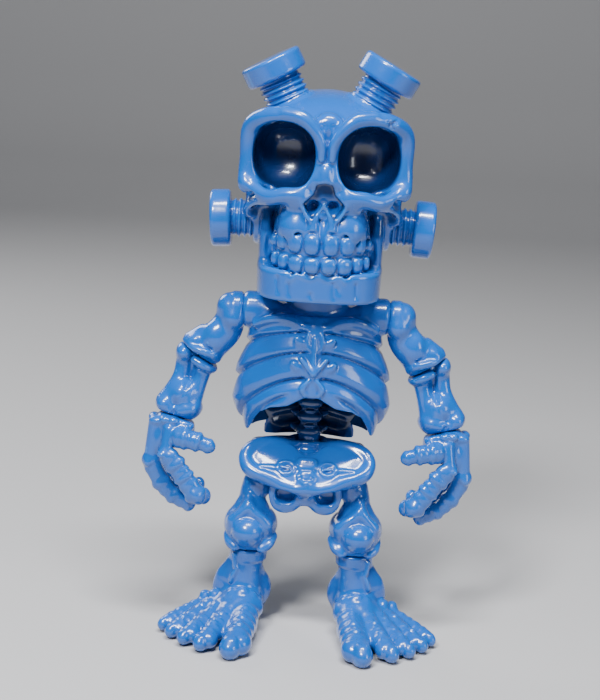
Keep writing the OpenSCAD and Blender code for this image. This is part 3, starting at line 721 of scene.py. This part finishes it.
for z in (79.5, 86, 92.5, 99, 105.5, 112, 118.5):
    inner_w, inner_d = float(np.interp(z, *cage_w)) - 3.5, float(np.interp(z, *cage_d)) - 3.5
    rib = [(x, inner_d * math.sqrt(1 - (x / inner_w) ** 2) + 0.6, z + 1.4 - 0.18 * x, 1.7)
           for x in (2, 6, 10, 14, 17)]
    back.add(strand(rib), 1.0, both=True)
back.cut(drum((0, 0, 126), (0, 0, 150), 12.9, 0.1), 0.4)
back.trim(1, cage_seam_y + 0.15, 1, 0.35)
# Painted shade on the inside walls and inner ribs of the back shell
back.paint_shade(cage(cage_wall + 0.2, ribbed=False), strength=0.7)
rib_back = casting("rib_cage_back_shell", back, "rib_cage_back", "torso")

# The spine's pegs turn in the pelvis, so its axis is the waist joint's
waist_y = joints["waist_turn"]["pos_m"][1] / MM - axis_y
spine = Clay((-11, 0, 62), (11, 17.5, 131), 0.4)
spine.add(drum((0, waist_y, 76), (0, waist_y, 128.4), 3.6, 0.5), 0.6)
for i in range(9):
    z = 79.0 + 6.0 * i
    spine.add(egg((0, waist_y, z), (5.2, 4.7, 2.45), power=2.6), 0.9)
    spine.add(egg((5.2, waist_y + 1.6, z + 0.6), (2.6, 1.5, 1.3), (0, -14, 10)), 0.9, both=True)
    spine.add(egg((0, waist_y - 4.3, z + 2.9), (2.6, 1.0, 0.7)), 0.7)
spine.trim(2, 76.1, 1, 0.4)
spine.trim(2, 128.3, -1, 0.4)
spine.add(drum((0, waist_y, 64.6), (0, waist_y, 77.2), 4.35, 0.3), 0.4)
spine.add(drum((0, waist_y, 64.6), (0, waist_y, 66.1), 5.5, 0.4), 0.3)
# Painted shade on the vertebrae inside the rib cage
spine.paint_shade(egg((0, waist_y, 110), (14, 14, 34)), strength=0.65)
spine_column = casting("spine_column", spine, "spine", "torso")


# ----------------------------------------
# PELVIS
# One casting: two tilted wings with a rolled lower rim, the last vertebrae in the middle between
# their ring-shaped openings, and two blind loops below. The spine's peg drops into its rear block.
# ----------------------------------------
hip_at = [abs(joints["hip_left"]["pos_m"][0]) / MM, joints["hip_left"]["pos_m"][1] / MM - axis_y,
          joints["hip_left"]["pos_m"][2] / MM]
tilt = (-41, 0, 0)
pelvis = Clay((-29, -18, 46), (29, 17, 79), 0.48)
pelvis.add(egg((14.2, -5.2, 69), (11.6, 3.0, 9.0), tilt, 2.5), 1, both=True)
pelvis.add(egg((0, -8.2, 65), (13, 3.4, 6.2), tilt, 2.4), 3)
pelvis.add(egg((10.5, 0, 65), (5.5, 7, 6)), 3, both=True)
pelvis.add(drum((0, 8.5, 66.7), (0, 8.5, 75.7), 7.1, 0.8), 2.5)
pelvis.add(egg((0, 1.5, 66), (8, 7, 5.5)), 3)
pelvis.add(strand([(-20, 7.6, 71.9, 3.2), (-11, 11.0, 71.8, 3.5), (0, 11.8, 71.6, 3.6),
                   (11, 11.0, 71.8, 3.5), (20, 7.6, 71.9, 3.2)]), 2)
pelvis.cut(egg((12.6, -14.2, 79.4), (12.4, 8.6, 11.2), (-30, 0, 0)), 2.5, both=True)
wing_rim = [(6.5, 2.4, 74.0, 1.9), (12, 1.0, 75.4, 1.8), (18, -0.8, 75.4, 1.8), (22.8, -3.2, 73.6, 1.9),
            (24.6, -5.8, 70.4, 2.0), (23.0, -8.8, 67.5, 2.1), (19.0, -10.8, 65.6, 1.9),
            (16.4, -11.4, 65.0, 1.7), (13.2, -12.0, 63.8, 1.8), (9.6, -12.8, 62.0, 1.8),
            (4.4, -13.4, 60.9, 1.8), (0, -13.4, 61.4, 1.8)]
pelvis.add(strand(wing_rim), 1.8, both=True)

# Middle, laid on the bowl: the last vertebra, a ring and a ridge on each side, and hook-shaped ends


def on_bowl(points, lift):
    """Points given as x, z and a radius, set on the front of the pelvis and lifted off it."""
    return [(x, pelvis.front_at(x, z) - lift * 0.75, z + lift * 0.66, r) for x, z, r in points]


pelvis.add(egg((0, pelvis.front_at(0, 69) + 1.6, 68.6), (4.3, 3.2, 2.9), tilt, 4), 0.8)
pelvis.add(egg((0, pelvis.front_at(0, 66) + 0.6, 66.0), (3.2, 2.0, 1.5), tilt, 3), 0.6)
hook = on_bowl([(-3.3, 65.6, 0.6), (-2.6, 64.2, 0.75), (0, 63.5, 0.8), (2.6, 64.2, 0.75), (3.3, 65.6, 0.6)],
               0.2)
ring_angles = np.linspace(0, 6.283, 11)[:10]
ring = on_bowl([(8.2 + 3.1 * math.cos(a), 68.2 + 2.0 * math.sin(a), 0.6) for a in ring_angles], 0.15)
ridge = on_bowl([(11.4, 68.1, 0.55), (14.8, 68.0, 0.65), (18.2, 68.2, 0.4)], 0.1)
dash = on_bowl([(6.9, 68.2, 0.55), (9.6, 68.4, 0.55)], 0.1)
pelvis.cut(egg((8.2, pelvis.front_at(8.2, 68.2) - 0.1, 68.2), (2.3, 0.8, 1.4), tilt), 0.5, both=True)
pelvis.add(strand(hook), 0.6)
pelvis.add(strand(on_bowl([(-1.0, 65.2, 0.9), (1.0, 65.2, 0.9)], 0.1)), 0.5)
pelvis.add(strand(ring, closed=True, steps=3), 0.6, both=True)
pelvis.add(strand(dash), 0.4, both=True)
pelvis.add(strand(ridge), 0.9, both=True)
pelvis.add(strand([(5.8, 1.8, 72.8, 1.2), (8.4, 0.0, 71.7, 1.5), (11, 1.8, 72.9, 1.0)]), 0.8, both=True)

# Front: the block where the halves meet, and the two loops with their blind, dark openings
pelvis.add(egg((0, -12.6, 61.0), (4.5, 2.6, 2.3), (-20, 0, 0), 3.4), 0.6)
pelvis.add(egg((7.4, -6.6, 56.2), (6.1, 3.4, 6.7), (-12, 0, 0), 2.6), 2, both=True)
pelvis.add(bar((0, -10.4, 60.5), (0, -8.4, 56.4), 3.3, 2.6), 3.5)
pelvis.cut(egg((8.3, -10.2, 57.4), (4.3, 4.6, 3.5), (-12, 0, 6), 2.5), 1.0, both=True)
loop = [(12.4, -8.0, 60), (13.0, -8.4, 56.6), (11.2, -8.4, 52.4), (7.8, -8.4, 50.9), (4.4, -8.8, 52.6),
        (2.0, -9.4, 55.6)]
pelvis.add(strand(loop, 1.3), 1.4, both=True)

# Hips: a drum on each side with the bore for the thigh's peg, and room for the thigh to swing
pelvis.add(drum((6.4, hip_at[1], hip_at[2]), (13.2, hip_at[1], hip_at[2]), 7.0, 0.8), 2, both=True)
pelvis.cut(drum((13.2, hip_at[1], hip_at[2]), (32, hip_at[1], hip_at[2]), 7.7, 0.6), 0.6, both=True)
pelvis.cut(drum((1, hip_at[1], hip_at[2]), (15, hip_at[1], hip_at[2]), 4.15, 0.1), 0.3, both=True)
pelvis.cut(drum((1, hip_at[1], hip_at[2]), (7.4, hip_at[1], hip_at[2]), 5.9, 0.2), 0.3, both=True)
pelvis.cut(drum((0, waist_y, 50), (0, waist_y, 80), 4.55, 0.1), 0.3)
pelvis.cut(drum((0, waist_y, 46), (0, waist_y, 66.7), 6.4, 0.2), 0.3)
pelvis_casting = casting("pelvis_casting", pelvis, "pelvis", "pelvis")


# ----------------------------------------
# UPPER ARMS
# A short, fat casting for each side: a ball with a second knob in front of it, a thick shaft, and
# a lower end that flares to a point outside. A rimmed peg holds it in the shoulder boss.
# ----------------------------------------


def along(a, b):
    """The turn that points a lump's own Z axis from a to b, with its Y axis as upright as it can be."""
    return tuple(math.degrees(v) for v in (Vector(b) - Vector(a)).to_track_quat("Z", "Y").to_euler())


def beyond(point, way):
    """Everything past a flat cut through a point."""
    def distance(x, y, z):
        return -((x - point[0]) * way[0] + (y - point[1]) * way[1] + (z - point[2]) * way[2])
    return Lump(np.full(3, -400.0), np.full(3, 400.0), distance)


def joint_axis(name):
    """A left-hand joint's place, in mm about the figure's axis, and its direction."""
    at = np.array(joints[name]["pos_m"], float) / MM - (0, axis_y, 0)
    way = np.array(joints[name]["axis"], float)
    return at, way / np.linalg.norm(way)


elbow, arm_way = joint_axis("elbow_left")
upper = Clay((14, -12, 101), (54, 9, 137), 0.45)
upper.add(egg((33.5, -2, 129.2), (5.2, 6.2, 5.8)), 1)
upper.add(drum((28.4, -2, 129), (33, -2, 129), 6.7, 1.2), 1.2)
upper.add(egg((31.8, -5.6, 126.0), (4.5, 4.2, 4.7), (0, 25, 0)), 1.1)
upper.add(strand([(33.0, -1.4, 125.6, 5.3), (34.7, -1.2, 120.6, 6.5), (38.6, -0.8, 115.6, 6.7),
                  (42.4, 0, 112.4, 6.6)]), 2.0)
upper.add(egg((38.6, -4.2, 117.6), (4.0, 4.0, 5.6), (0, 12, 0)), 2.5)

# The flared lower end: a point outside, a fat lip round the front, a rounded knob inside
upper.add(bar((43.6, -0.4, 117), (48.2, -0.6, 115.4), 4.2, 2.9), 3)
upper.add(egg((46.6, -3.4, 115.6), (3.2, 3.0, 2.3), (0, 30, 0)), 1.6)
upper.add(egg((39.6, 0, 109.4), (3.5, 5.4, 3.6)), 2.5)
upper.add(strand([(50.0, -1.6, 114.6, 1.3), (46.8, -5.6, 113.2, 1.7), (42.6, -6.9, 112.2, 1.9),
                  (39.4, -6.2, 110.6, 1.7), (37.6, -3.6, 108.6, 1.4)]), 1.3)
upper.cut(strand([(47.6, -6.8, 115.6, 0.3), (43.6, -7.8, 114.5, 0.5), (40, -7.2, 113.2, 0.3)]), 1.4)
upper.cut(beyond(elbow - arm_way * 0.15, arm_way), 0.9)
upper.add(drum((30, -2, 129), (15.1, -2, 129), 3.6, 0.2), 0.3)
upper.add(drum((16.7, -2, 129), (15.1, -2, 129), 4.8, 0.4), 0.3)
upper.cut(drum(elbow + arm_way, elbow - arm_way * 12.2, 3.7, 0.1), 0.3)
upper.cut(drum(elbow - arm_way * 9, elbow - arm_way * 12.2, 5.2, 0.3), 0.3)
both_sides("upper_arm", upper)


# ----------------------------------------
# FOREARMS
# Two bones cast as one, with a deep groove between them. The inner one starts in a flat collar
# under the elbow and flares at the wrist; the outer one ends in a round knob.
# ----------------------------------------
wrist, hand_way = joint_axis("wrist_left")
fore = Clay((34, -15, 82), (64, 12, 124), 0.42)
fore.add(strand([(49.6, 0.6, 110.8, 3.6), (50.4, 0.2, 106, 3.4), (51.6, -0.8, 100.4, 3.1),
                 (54.0, -2, 94.6, 3.7), (56.2, -3.4, 90.2, 4.6)]), 1)
fore.add(strand([(42.8, -0.4, 107.2, 4.8), (43.2, -1.6, 103.2, 3.7), (44.4, -2.4, 98.4, 3.4),
                 (46.2, -3, 92.6, 3.9), (48.0, -4, 88.6, 5.2)]), 1.2)
fore.add(bar((47.2, 1.6, 108), (50.4, -1.2, 91), 2.2), 1.0)
fore.add(egg((48.6, 4, 107.5), (4.4, 3.2, 4.4)), 2)
fore.add(egg((50.2, -3.2, 94.0), (5.8, 5.8, 5.6)), 2)
fore.cut(strand([(47.6, -3.6, 110.5, 1.6), (46.9, -3.7, 105, 1.5), (47.9, -5.2, 100.6, 1.3),
                 (49.0, -7.8, 97.4, 0.6)]), 1.2)
fore.cut(strand([(49.6, -9.0, 96, 0.4), (51.2, -9.4, 92, 0.5), (52.6, -9.6, 88.6, 0.5)]), 0.8)
fore.cut(strand([(47.2, 4.6, 107, 1.0), (47.4, 4.4, 101, 1.0), (49.0, 3.6, 97, 0.5)]), 1.2)
fore.cut(strand([(47.6, 5.2, 103, 0.6), (48.2, 3.9, 97.4, 0.7), (51.6, 3.4, 90, 0.5)]), 1.3)

# Collar of the inner bone, point of the elbow, and the knobs and flare over the wrist
fore.add(strand([(46.0, -4.6, 107.8, 1.7), (43.2, -5.4, 106.4, 1.9), (40.6, -4.6, 105.0, 1.8),
                 (39.0, -1.6, 104.2, 1.7), (39.2, 2.2, 104.6, 1.6)]), 1.4)
fore.add(egg((50.6, -1.4, 110.2), (3.0, 3.8, 3.2)), 2.0)
fore.add(egg((57.0, -6.2, 89.8), (3.0, 2.6, 2.9)), 1.0)
fore.add(egg((56.4, 0.6, 89.4), (3.6, 4, 3.4)), 1.4)
fore.add(egg((48.6, -6.6, 88.4), (4.4, 2.9, 2.6), (0, 14, 0)), 1.2)
fore.add(bar((48.0, -6.8, 92), (46.6, -6.4, 96), 1.3, 0.5), 1.2)
fore.add(egg((46.4, -1, 88), (4.2, 5.4, 3.2)), 1.6)
fore.add(egg((52.2, -4, 87.8), (6.6, 5.2, 2.4)), 1.4)
fore.cut(egg((53.2, -9.6, 87.4), (1.3, 1.6, 2.0)), 0.8)
fore.cut(beyond(elbow + arm_way * 0.15, -arm_way), 0.8)
fore.cut(beyond(wrist - hand_way * 0.15, hand_way), 0.8)
fore.add(drum(elbow + arm_way * 1.5, elbow - arm_way * 11.4, 3.6, 0.2), 0.3)
fore.add(drum(elbow - arm_way * 9.8, elbow - arm_way * 11.4, 4.8, 0.4), 0.3)
fore.cut(drum(wrist + hand_way, wrist - hand_way * 9.8, 3.1, 0.1), 0.3)
fore.cut(drum(wrist - hand_way * 7, wrist - hand_way * 9.8, 4.4, 0.3), 0.3)
both_sides("forearm", fore)


# ----------------------------------------
# HANDS
# Each hand is one casting: lumpy wrist bones, four curled fingers of fat knuckled segments behind
# one another, and a thick thumb that points inwards. A small peg turns in the forearm.
# ----------------------------------------


def finger(clay, points, wide, thick, waist=0.84):
    """Bones end to end along points. Each has a waist and a bead at both ends, with creases between."""
    for i, (a, b) in enumerate(zip(points[:-1], points[1:])):
        a, b = np.array(a, float), np.array(b, float)
        length = np.linalg.norm(b - a)
        turn, w, t = along(a, b), wide[i], thick[i]
        clay.add(egg((a + b) / 2, (w * waist, t * waist, length * 0.62), turn, 2.6), 1.0)
        inset = min(0.42 * t, 0.26 * length) / length
        for share, k in ((inset, 0.9), (1 - inset, 1.03)):
            clay.add(egg(a + (b - a) * share, (w * k, t * k, min(t * 0.8, length * 0.36)), turn), 0.6)


hand = Clay((33, -20, 44), (67, 10, 96), 0.42)
hand.add(egg(wrist + hand_way * 2.6, (7.4, 6.4, 3.4), (0, -16, 0), 2.4), 1)
hand.add(egg((53, -4, 79), (7.8, 7.4, 7)), 2)
hand.add(egg((58.6, -1, 74.5), (3.8, 9.2, 8)), 2.5)

# Wrist bones
for centre, radii in (((59.4, -7.4, 83.6), (2.9, 2.3, 1.7)), ((56.2, -10.0, 84.6), (1.7, 1.5, 1.5)),
                      ((52.8, -10.4, 84.4), (2.2, 1.7, 1.8)), ((53.8, -10.6, 81.2), (1.9, 1.5, 1.7)),
                      ((48.4, -8.8, 82.6), (3.6, 2.6, 3.2)), ((61.2, -2, 83.4), (2.2, 3.4, 2.0))):
    hand.add(egg(centre, radii), 0.7)

# Palm bones behind each knuckle, then the fingers, from the front one to the back one
palm_bones = [((54.4, -10.6, 81), (55.4, -12.2, 71.8)), ((60.4, -6.6, 82.6), (61.4, -7.0, 67.4)),
              ((60.0, -0.8, 81), (60.8, -1.2, 66.6)), ((57.6, 3.4, 79.6), (58.8, 4.2, 67.4))]
for (a, b), thick in zip(palm_bones, (2.5, 2.9, 2.9, 2.6)):
    hand.add(bar(a, b, thick * 0.86, thick), 1.1)
    hand.add(egg(b, (thick * 1.25, thick * 1.06, thick * 1.2)), 0.7)
hand.add(egg((62.2, -9.2, 66.6), (1.5, 1.2, 1.6)), 0.6)
hand.add(egg((56.6, -14.2, 71.6), (1.8, 1.3, 1.3)), 0.6)
finger(hand, [(55.0, -12.6, 71.8), (50.0, -13.2, 66.2), (46.8, -13.4, 61.6), (41.8, -13.4, 54.6)],
       (3.1, 3.0, 3.2), (4.4, 4.3, 4.5))
hand.add(egg((42.6, -13.6, 56.2), (3.8, 3.2, 4.4), along((46.6, -13.4, 61.4), (41.6, -13.4, 54.4))), 0.8)
finger(hand, [(61.2, -7.0, 65.8), (56.0, -7.4, 57.0), (50.4, -7.6, 52.4), (44.0, -7.8, 50.2)],
       (2.9, 2.8, 2.7), (3.9, 3.7, 3.5))
finger(hand, [(60.6, -1.4, 65.2), (55.0, -1.6, 56.6), (48.0, -1.8, 52.4), (38.8, -2.0, 52.0)],
       (2.8, 2.7, 2.6), (3.8, 3.6, 3.4))
finger(hand, [(58.4, 4.2, 66.2), (53.8, 4.0, 59.0), (47.8, 3.8, 55.2), (41.4, 3.6, 54.8)], (2.6, 2.5, 2.4),
       (3.5, 3.3, 3.1))

# Thumb: a smooth root and two segments that taper to a blunt tip
hand.add(strand([(53.0, -7.4, 79.6, 4.2), (50.6, -10.2, 78.4, 3.9), (48.2, -12, 78.4, 3.7)]), 1.6)
finger(hand, [(52.0, -11.4, 78.4), (46.2, -13.0, 78.2), (41.6, -13.7, 77.2), (37.6, -13.8, 75.8)],
       (3.9, 3.6, 2.7), (4.4, 4.0, 3.0), 0.9)
hand.add(egg((38.2, -13.8, 75.9), (2.4, 2.3, 2.4)), 1.0)
hand.cut(beyond(wrist + hand_way * 0.15, -hand_way), 0.7)
hand.add(drum(wrist + hand_way * 1.5, wrist - hand_way * 9.2, 3.0, 0.2), 0.3)
hand.add(drum(wrist - hand_way * 7.6, wrist - hand_way * 9.2, 4.1, 0.3), 0.3)
both_sides("hand", hand)


# ----------------------------------------
# THIGHS
# Mostly knee: a short neck out of the hip widens into two condyles with the round kneecap between
# them under a raised rim. A rimmed peg turns in the pelvis, and the shin's peg turns in the knee.
# ----------------------------------------
knee, down = joint_axis("knee_turn_left")
thigh = Clay((4, -18, 31), (33, 12, 68), 0.45)
thigh.add(strand([(18.6, 2, 58.2, 6.3), (20.4, 1.4, 54.6, 5.4), (20.9, 0.6, 50.4, 5.7), (21.0, 0, 46, 7.6)]),
          1)
thigh.add(egg((26.0, -0.6, 41.4), (5.7, 8.2, 6.9)), 2.0)
thigh.add(egg((15.6, -0.6, 42.0), (5.4, 8.2, 6.2)), 2.0)
thigh.add(egg((20.8, 4, 41), (8.4, 5.6, 6.6)), 2.0)
thigh.add(egg((20.8, -0.4, 35.4), (10.2, 8.4, 4.6), power=2.5), 1.4)
thigh.cut(egg((20.8, 10.4, 42), (2.2, 2.6, 7)), 1.6)

# Raised rim over the kneecap, the kneecap, and the lower plates on both sides with creases over them
thigh.add(strand([(22.4, -4.2, 53.6, 1.0), (22.2, -6.0, 50.8, 1.4), (20.2, -6.9, 48.6, 1.4),
                  (17.0, -7.4, 46.4, 1.5), (14.4, -6.8, 43.6, 1.5)]), 2.8)
thigh.add(strand([(22.2, -6.0, 50.4, 1.3), (25.0, -6.9, 47.8, 1.5), (28.0, -6.4, 44.4, 1.5)]), 2.8)
thigh.add(egg((22.0, -7.6, 40.2), (6.3, 5.9, 6.0)), 0.9)
thigh.add(strand([(11.6, -3.6, 37.6, 1.6), (13.4, -6.4, 35.2, 2.0), (15.8, -7.8, 33.2, 1.8)]), 1.1)
thigh.add(strand([(29.8, -3.0, 36.8, 1.5), (28.8, -5.6, 34.8, 1.8), (26.8, -7.4, 33.2, 1.7)]), 1.1)
thigh.cut(strand([(9.8, -4.4, 39.6, 0.4), (12.8, -7.8, 37.4, 0.7), (15.8, -10.4, 35.6, 0.6)]), 0.9)
thigh.cut(strand([(31.6, -3.6, 39.0, 0.4), (29.6, -7.2, 37.0, 0.6), (27.4, -9.8, 35.6, 0.5)]), 0.9)
thigh.cut(drum((4, hip_at[1], hip_at[2]), (13.5, hip_at[1], hip_at[2]), 10.5, 0.3), 0.6)
thigh.trim(2, 32.15, 1, 0.8)
thigh.add(drum((16, hip_at[1], hip_at[2]), (5.5, hip_at[1], hip_at[2]), 4.0, 0.2), 0.3)
thigh.add(drum((7.1, hip_at[1], hip_at[2]), (5.5, hip_at[1], hip_at[2]), 5.2, 0.4), 0.3)
thigh.cut(drum((knee[0], knee[1], 28), (knee[0], knee[1], 43.6), 4.1, 0.1), 0.3)
thigh.cut(drum((knee[0], knee[1], 40), (knee[0], knee[1], 43.4), 5.6, 0.3), 0.3)
both_sides("thigh", thigh)


# ----------------------------------------
# LOWER LEGS
# Shin, ankle and foot in one casting. The foot is broad and flat, and five rays of bones fan out
# over it, each with rows of small knuckles, ending in a fat toe with a nail.
# ----------------------------------------
leg = Clay((8, -49, -1), (60, 18, 44), 0.48)
leg.add(strand([(21.3, 0, 30.0, 7.3), (21.9, -0.2, 26.6, 6.9), (22.7, -0.4, 22, 7.4), (23.4, 0, 16.4, 8.6)]),
        1)
leg.add(drum((knee[0] + 0.4, 0, 27), (knee[0] + 0.4, 0, 31.85), 7.3, 0.6), 1.0)
leg.add(strand([(27.8, -0.4, 23.4, 2.4), (30.2, 0, 19.2, 3.4), (30.8, 0.4, 14.4, 4.2), (30.6, 1, 10, 4.2)]),
        2.6)
leg.add(strand([(17.0, 0.6, 21, 2.4), (15.2, 1.6, 16.6, 3.3), (15.0, 2.2, 12.4, 3.6), (16.2, 3, 9.8, 3.0)]),
        2.4)
leg.add(strand([(26.8, -5.8, 29.6, 1.1), (26.2, -6.8, 25.4, 0.9)]), 0.9)
leg.add(strand([(25.4, -7.2, 24.4, 0.6), (26.8, -7.4, 21.6, 1.0), (27.6, -7.6, 19, 0.8)]), 1.0)
leg.add(egg((22, 7.4, 6.4), (7.6, 7.2, 7.2)), 2.5)
leg.add(egg((23, 4, 9), (9.5, 9, 8)), 3)

# Top of the foot: a wedge with ankle bones in front of the shin, sloping to the toes
leg.add(egg((23.4, -6.6, 9.8), (9.2, 11, 7.0)), 2.5)
leg.add(egg((25.5, -16, 4.6), (10, 14, 5.6)), 3)
leg.add(egg((35.5, -9.6, 3.6), (12.4, 11.5, 5.2), (0, 0, -34)), 3)
for centre, radii in (((22.8, -10.4, 15.0), (3.4, 2.4, 2.6)), ((26.6, -9.8, 14.0), (2.4, 2.2, 2.6)),
                      ((19.0, -9.6, 13.6), (2.6, 2.4, 2.6)), ((16.8, -9.4, 9.4), (3.0, 4.4, 4.2)),
                      ((33.8, -4.2, 11.8), (2.6, 2.6, 2.2)), ((37.6, -2.2, 10.4), (2.4, 2.6, 2.2))):
    leg.add(egg(centre, radii), 0.9)

# Rays: a tapering bone from the ankle to each toe, with pairs of knuckles along its top
rays = [
    ([(20.4, -11, 9.6, 5.2), (21.2, -20, 7.2, 5.2), (22.2, -28, 5.6, 5.2), (23.6, -35, 4.6, 5.0)], 5.6,
     ((0.30, 1.7), (0.46, 1.5), (0.54, 2.2), (0.70, 1.6), (0.79, 2.3))),
    ([(26.2, -10, 9.4, 4.2), (29.4, -19, 7.2, 3.9), (32.4, -26.6, 5.4, 3.9), (35.0, -32, 4.2, 3.7)], 4.0,
     ((0.42, 1.5), (0.60, 1.3), (0.72, 1.6))),
    ([(29.6, -8, 9.0, 4.0), (34.4, -15.6, 6.8, 3.7), (38.6, -22.4, 5.0, 3.6), (41.8, -27.4, 3.9, 3.4)], 3.6,
     ((0.34, 1.3), (0.62, 1.4), (0.84, 1.7))),
    ([(32, -5.6, 8.6, 4.0), (38.4, -11.6, 6.4, 3.6), (43.2, -17.2, 4.8, 3.4), (47.0, -21.6, 3.7, 3.2)], 3.4,
     ((0.36, 1.4), (0.62, 1.3), (0.84, 1.6))),
    ([(33.6, -1.6, 7.6, 4.4), (40.2, -5.8, 5.8, 3.9), (45.8, -10.6, 4.6, 3.5), (50.6, -15.4, 3.6, 3.2)], 3.2,
     ((0.40, 1.4), (0.70, 1.5)))]
for bones, toe, knobs in rays:
    leg.add(strand(bones), 1.3)
    path = curve([p[:3] for p in bones], steps=12)
    thick = np.interp(np.arange(len(path)), np.linspace(0, len(path) - 1, 4), [p[3] for p in bones])
    for share, size in knobs:
        i = int(share * (len(path) - 1))
        x, y = path[i][0], path[i][1]
        leg.add(egg((x, y, leg.top_at(x, y) - 0.1), (size, size * 0.8, size * 0.66)), 0.5)
    a, b = np.array(bones[-2][:3]), np.array(bones[-1][:3])
    way = (b - a) / np.linalg.norm(b - a)
    side_way = np.array((way[1], -way[0], 0))
    turn = (0, 0, math.degrees(math.atan2(way[0], -way[1])))
    for share in (0.22, 0.4, 0.58, 0.76, 0.92):
        i = int(share * (len(path) - 1))
        leg.add(egg(path[i], (thick[i] * 1.04, thick[i] * 0.5, thick[i] * 1.08), turn), 0.6)
    leg.add(egg(b + side_way * toe * 0.34 - way * 0.4 + (0, 0, -0.3), (toe * 0.82, toe, toe * 0.84)), 0.7)
    tip = b + way * toe * 0.62 - side_way * toe * 0.16 + (0, 0, -0.4)
    leg.add(egg(tip, (toe * 0.78, toe, toe * 0.84), turn), 0.45)
    nail = tip + (0, 0, toe * 0.42) - way * toe * 0.1
    leg.add(egg(nail, (toe * 0.6, toe * 0.78, toe * 0.5), turn, 2.4), 0.35)
leg.trim(2, 0.02, 1, 0.5)
leg.trim(2, 31.85, -1, 0.7)
leg.add(drum((knee[0], knee[1], 29), (knee[0], knee[1], 42.4), 4.0, 0.2), 0.3)
leg.add(drum((knee[0], knee[1], 40.8), (knee[0], knee[1], 42.4), 5.2, 0.4), 0.3)
both_sides("lower_leg", leg)


# ----------------------------------------
# FLOOR, LIGHTS AND CAMERA
# A plain pale sweep, a large soft key from the front left, a long light overhead that draws the
# white streaks on the ribs and brows, and weak fills. The camera looks down a little from in front.
# ----------------------------------------
tall = cad_box[1][2] - cad_box[0][2]
sweep = bmesh.new()
profile = [(-6.0, 0.0), (1.1, 0.0), (1.32, 0.03), (1.48, 0.12), (1.58, 0.3), (1.6, 0.6), (1.6, 3.0)]
clear_of_soles = 0.0003
rows = [[sweep.verts.new((x, y, z - clear_of_soles)) for y, z in profile] for x in (-4.0, 4.0)]
for i in range(len(profile) - 1):
    sweep.faces.new((rows[0][i], rows[1][i], rows[1][i + 1], rows[0][i + 1]))
sweep_mesh = bpy.data.meshes.new("studio_sweep")
sweep.to_mesh(sweep_mesh)
sweep.free()
sweep_mesh.shade_smooth()
floor = bpy.data.objects.new("studio_sweep", sweep_mesh)
bpy.context.scene.collection.objects.link(floor)
paper = bpy.data.materials.new("pale_paper")
paper.use_nodes = True
paper.node_tree.nodes["Principled BSDF"].inputs["Base Color"].default_value = (0.45, 0.45, 0.46, 1)
paper.node_tree.nodes["Principled BSDF"].inputs["Roughness"].default_value = 0.55
sweep_mesh.materials.append(paper)

world = bpy.data.worlds.new("studio_room")
bpy.context.scene.world = world
world.use_nodes = True
world.node_tree.nodes["Background"].inputs["Color"].default_value = (0.8, 0.86, 1.0, 1)
world.node_tree.nodes["Background"].inputs["Strength"].default_value = 0.07
middle = Vector((0, axis_y * MM, tall * 0.55))


def softbox(name, place, width, depth, power, tint=(1, 1, 1)):
    """A rectangular studio light that faces the figure's middle."""
    lamp = bpy.data.lights.new(name, "AREA")
    lamp.shape = "RECTANGLE"
    lamp.size = width
    lamp.size_y = depth
    lamp.energy = power
    lamp.color = tint
    made = bpy.data.objects.new(name, lamp)
    bpy.context.scene.collection.objects.link(made)
    made.location = middle + Vector(place)
    made.rotation_euler = (middle - made.location).to_track_quat("-Z", "Y").to_euler()


softbox("key", (-0.3, -0.66, 0.66), 0.22, 0.16, 13)
softbox("overhead", (0.04, -0.3, 0.78), 0.45, 0.1, 12)
softbox("fill", (0.75, -0.5, 0.2), 0.3, 0.4, 2.2, (0.9, 0.95, 1))
softbox("rim", (-0.5, 0.55, 0.4), 0.3, 0.4, 2.5)

camera_data = bpy.data.cameras.new("camera")
camera_data.lens = 85
camera_data.sensor_width = 36
camera = bpy.data.objects.new("camera", camera_data)
bpy.context.scene.collection.objects.link(camera)
aim_at = Vector((-5.5, axis_y, 113.4)) * MM
camera_roll = math.radians(3.5)
camera.location = aim_at + Vector((0, -630, 142.6)) * MM
look = (aim_at - camera.location).to_track_quat("-Z", "Y")
camera.rotation_euler = (look.to_matrix() @ Matrix.Rotation(camera_roll, 3, "Z")).to_euler()
bpy.context.scene.camera = camera
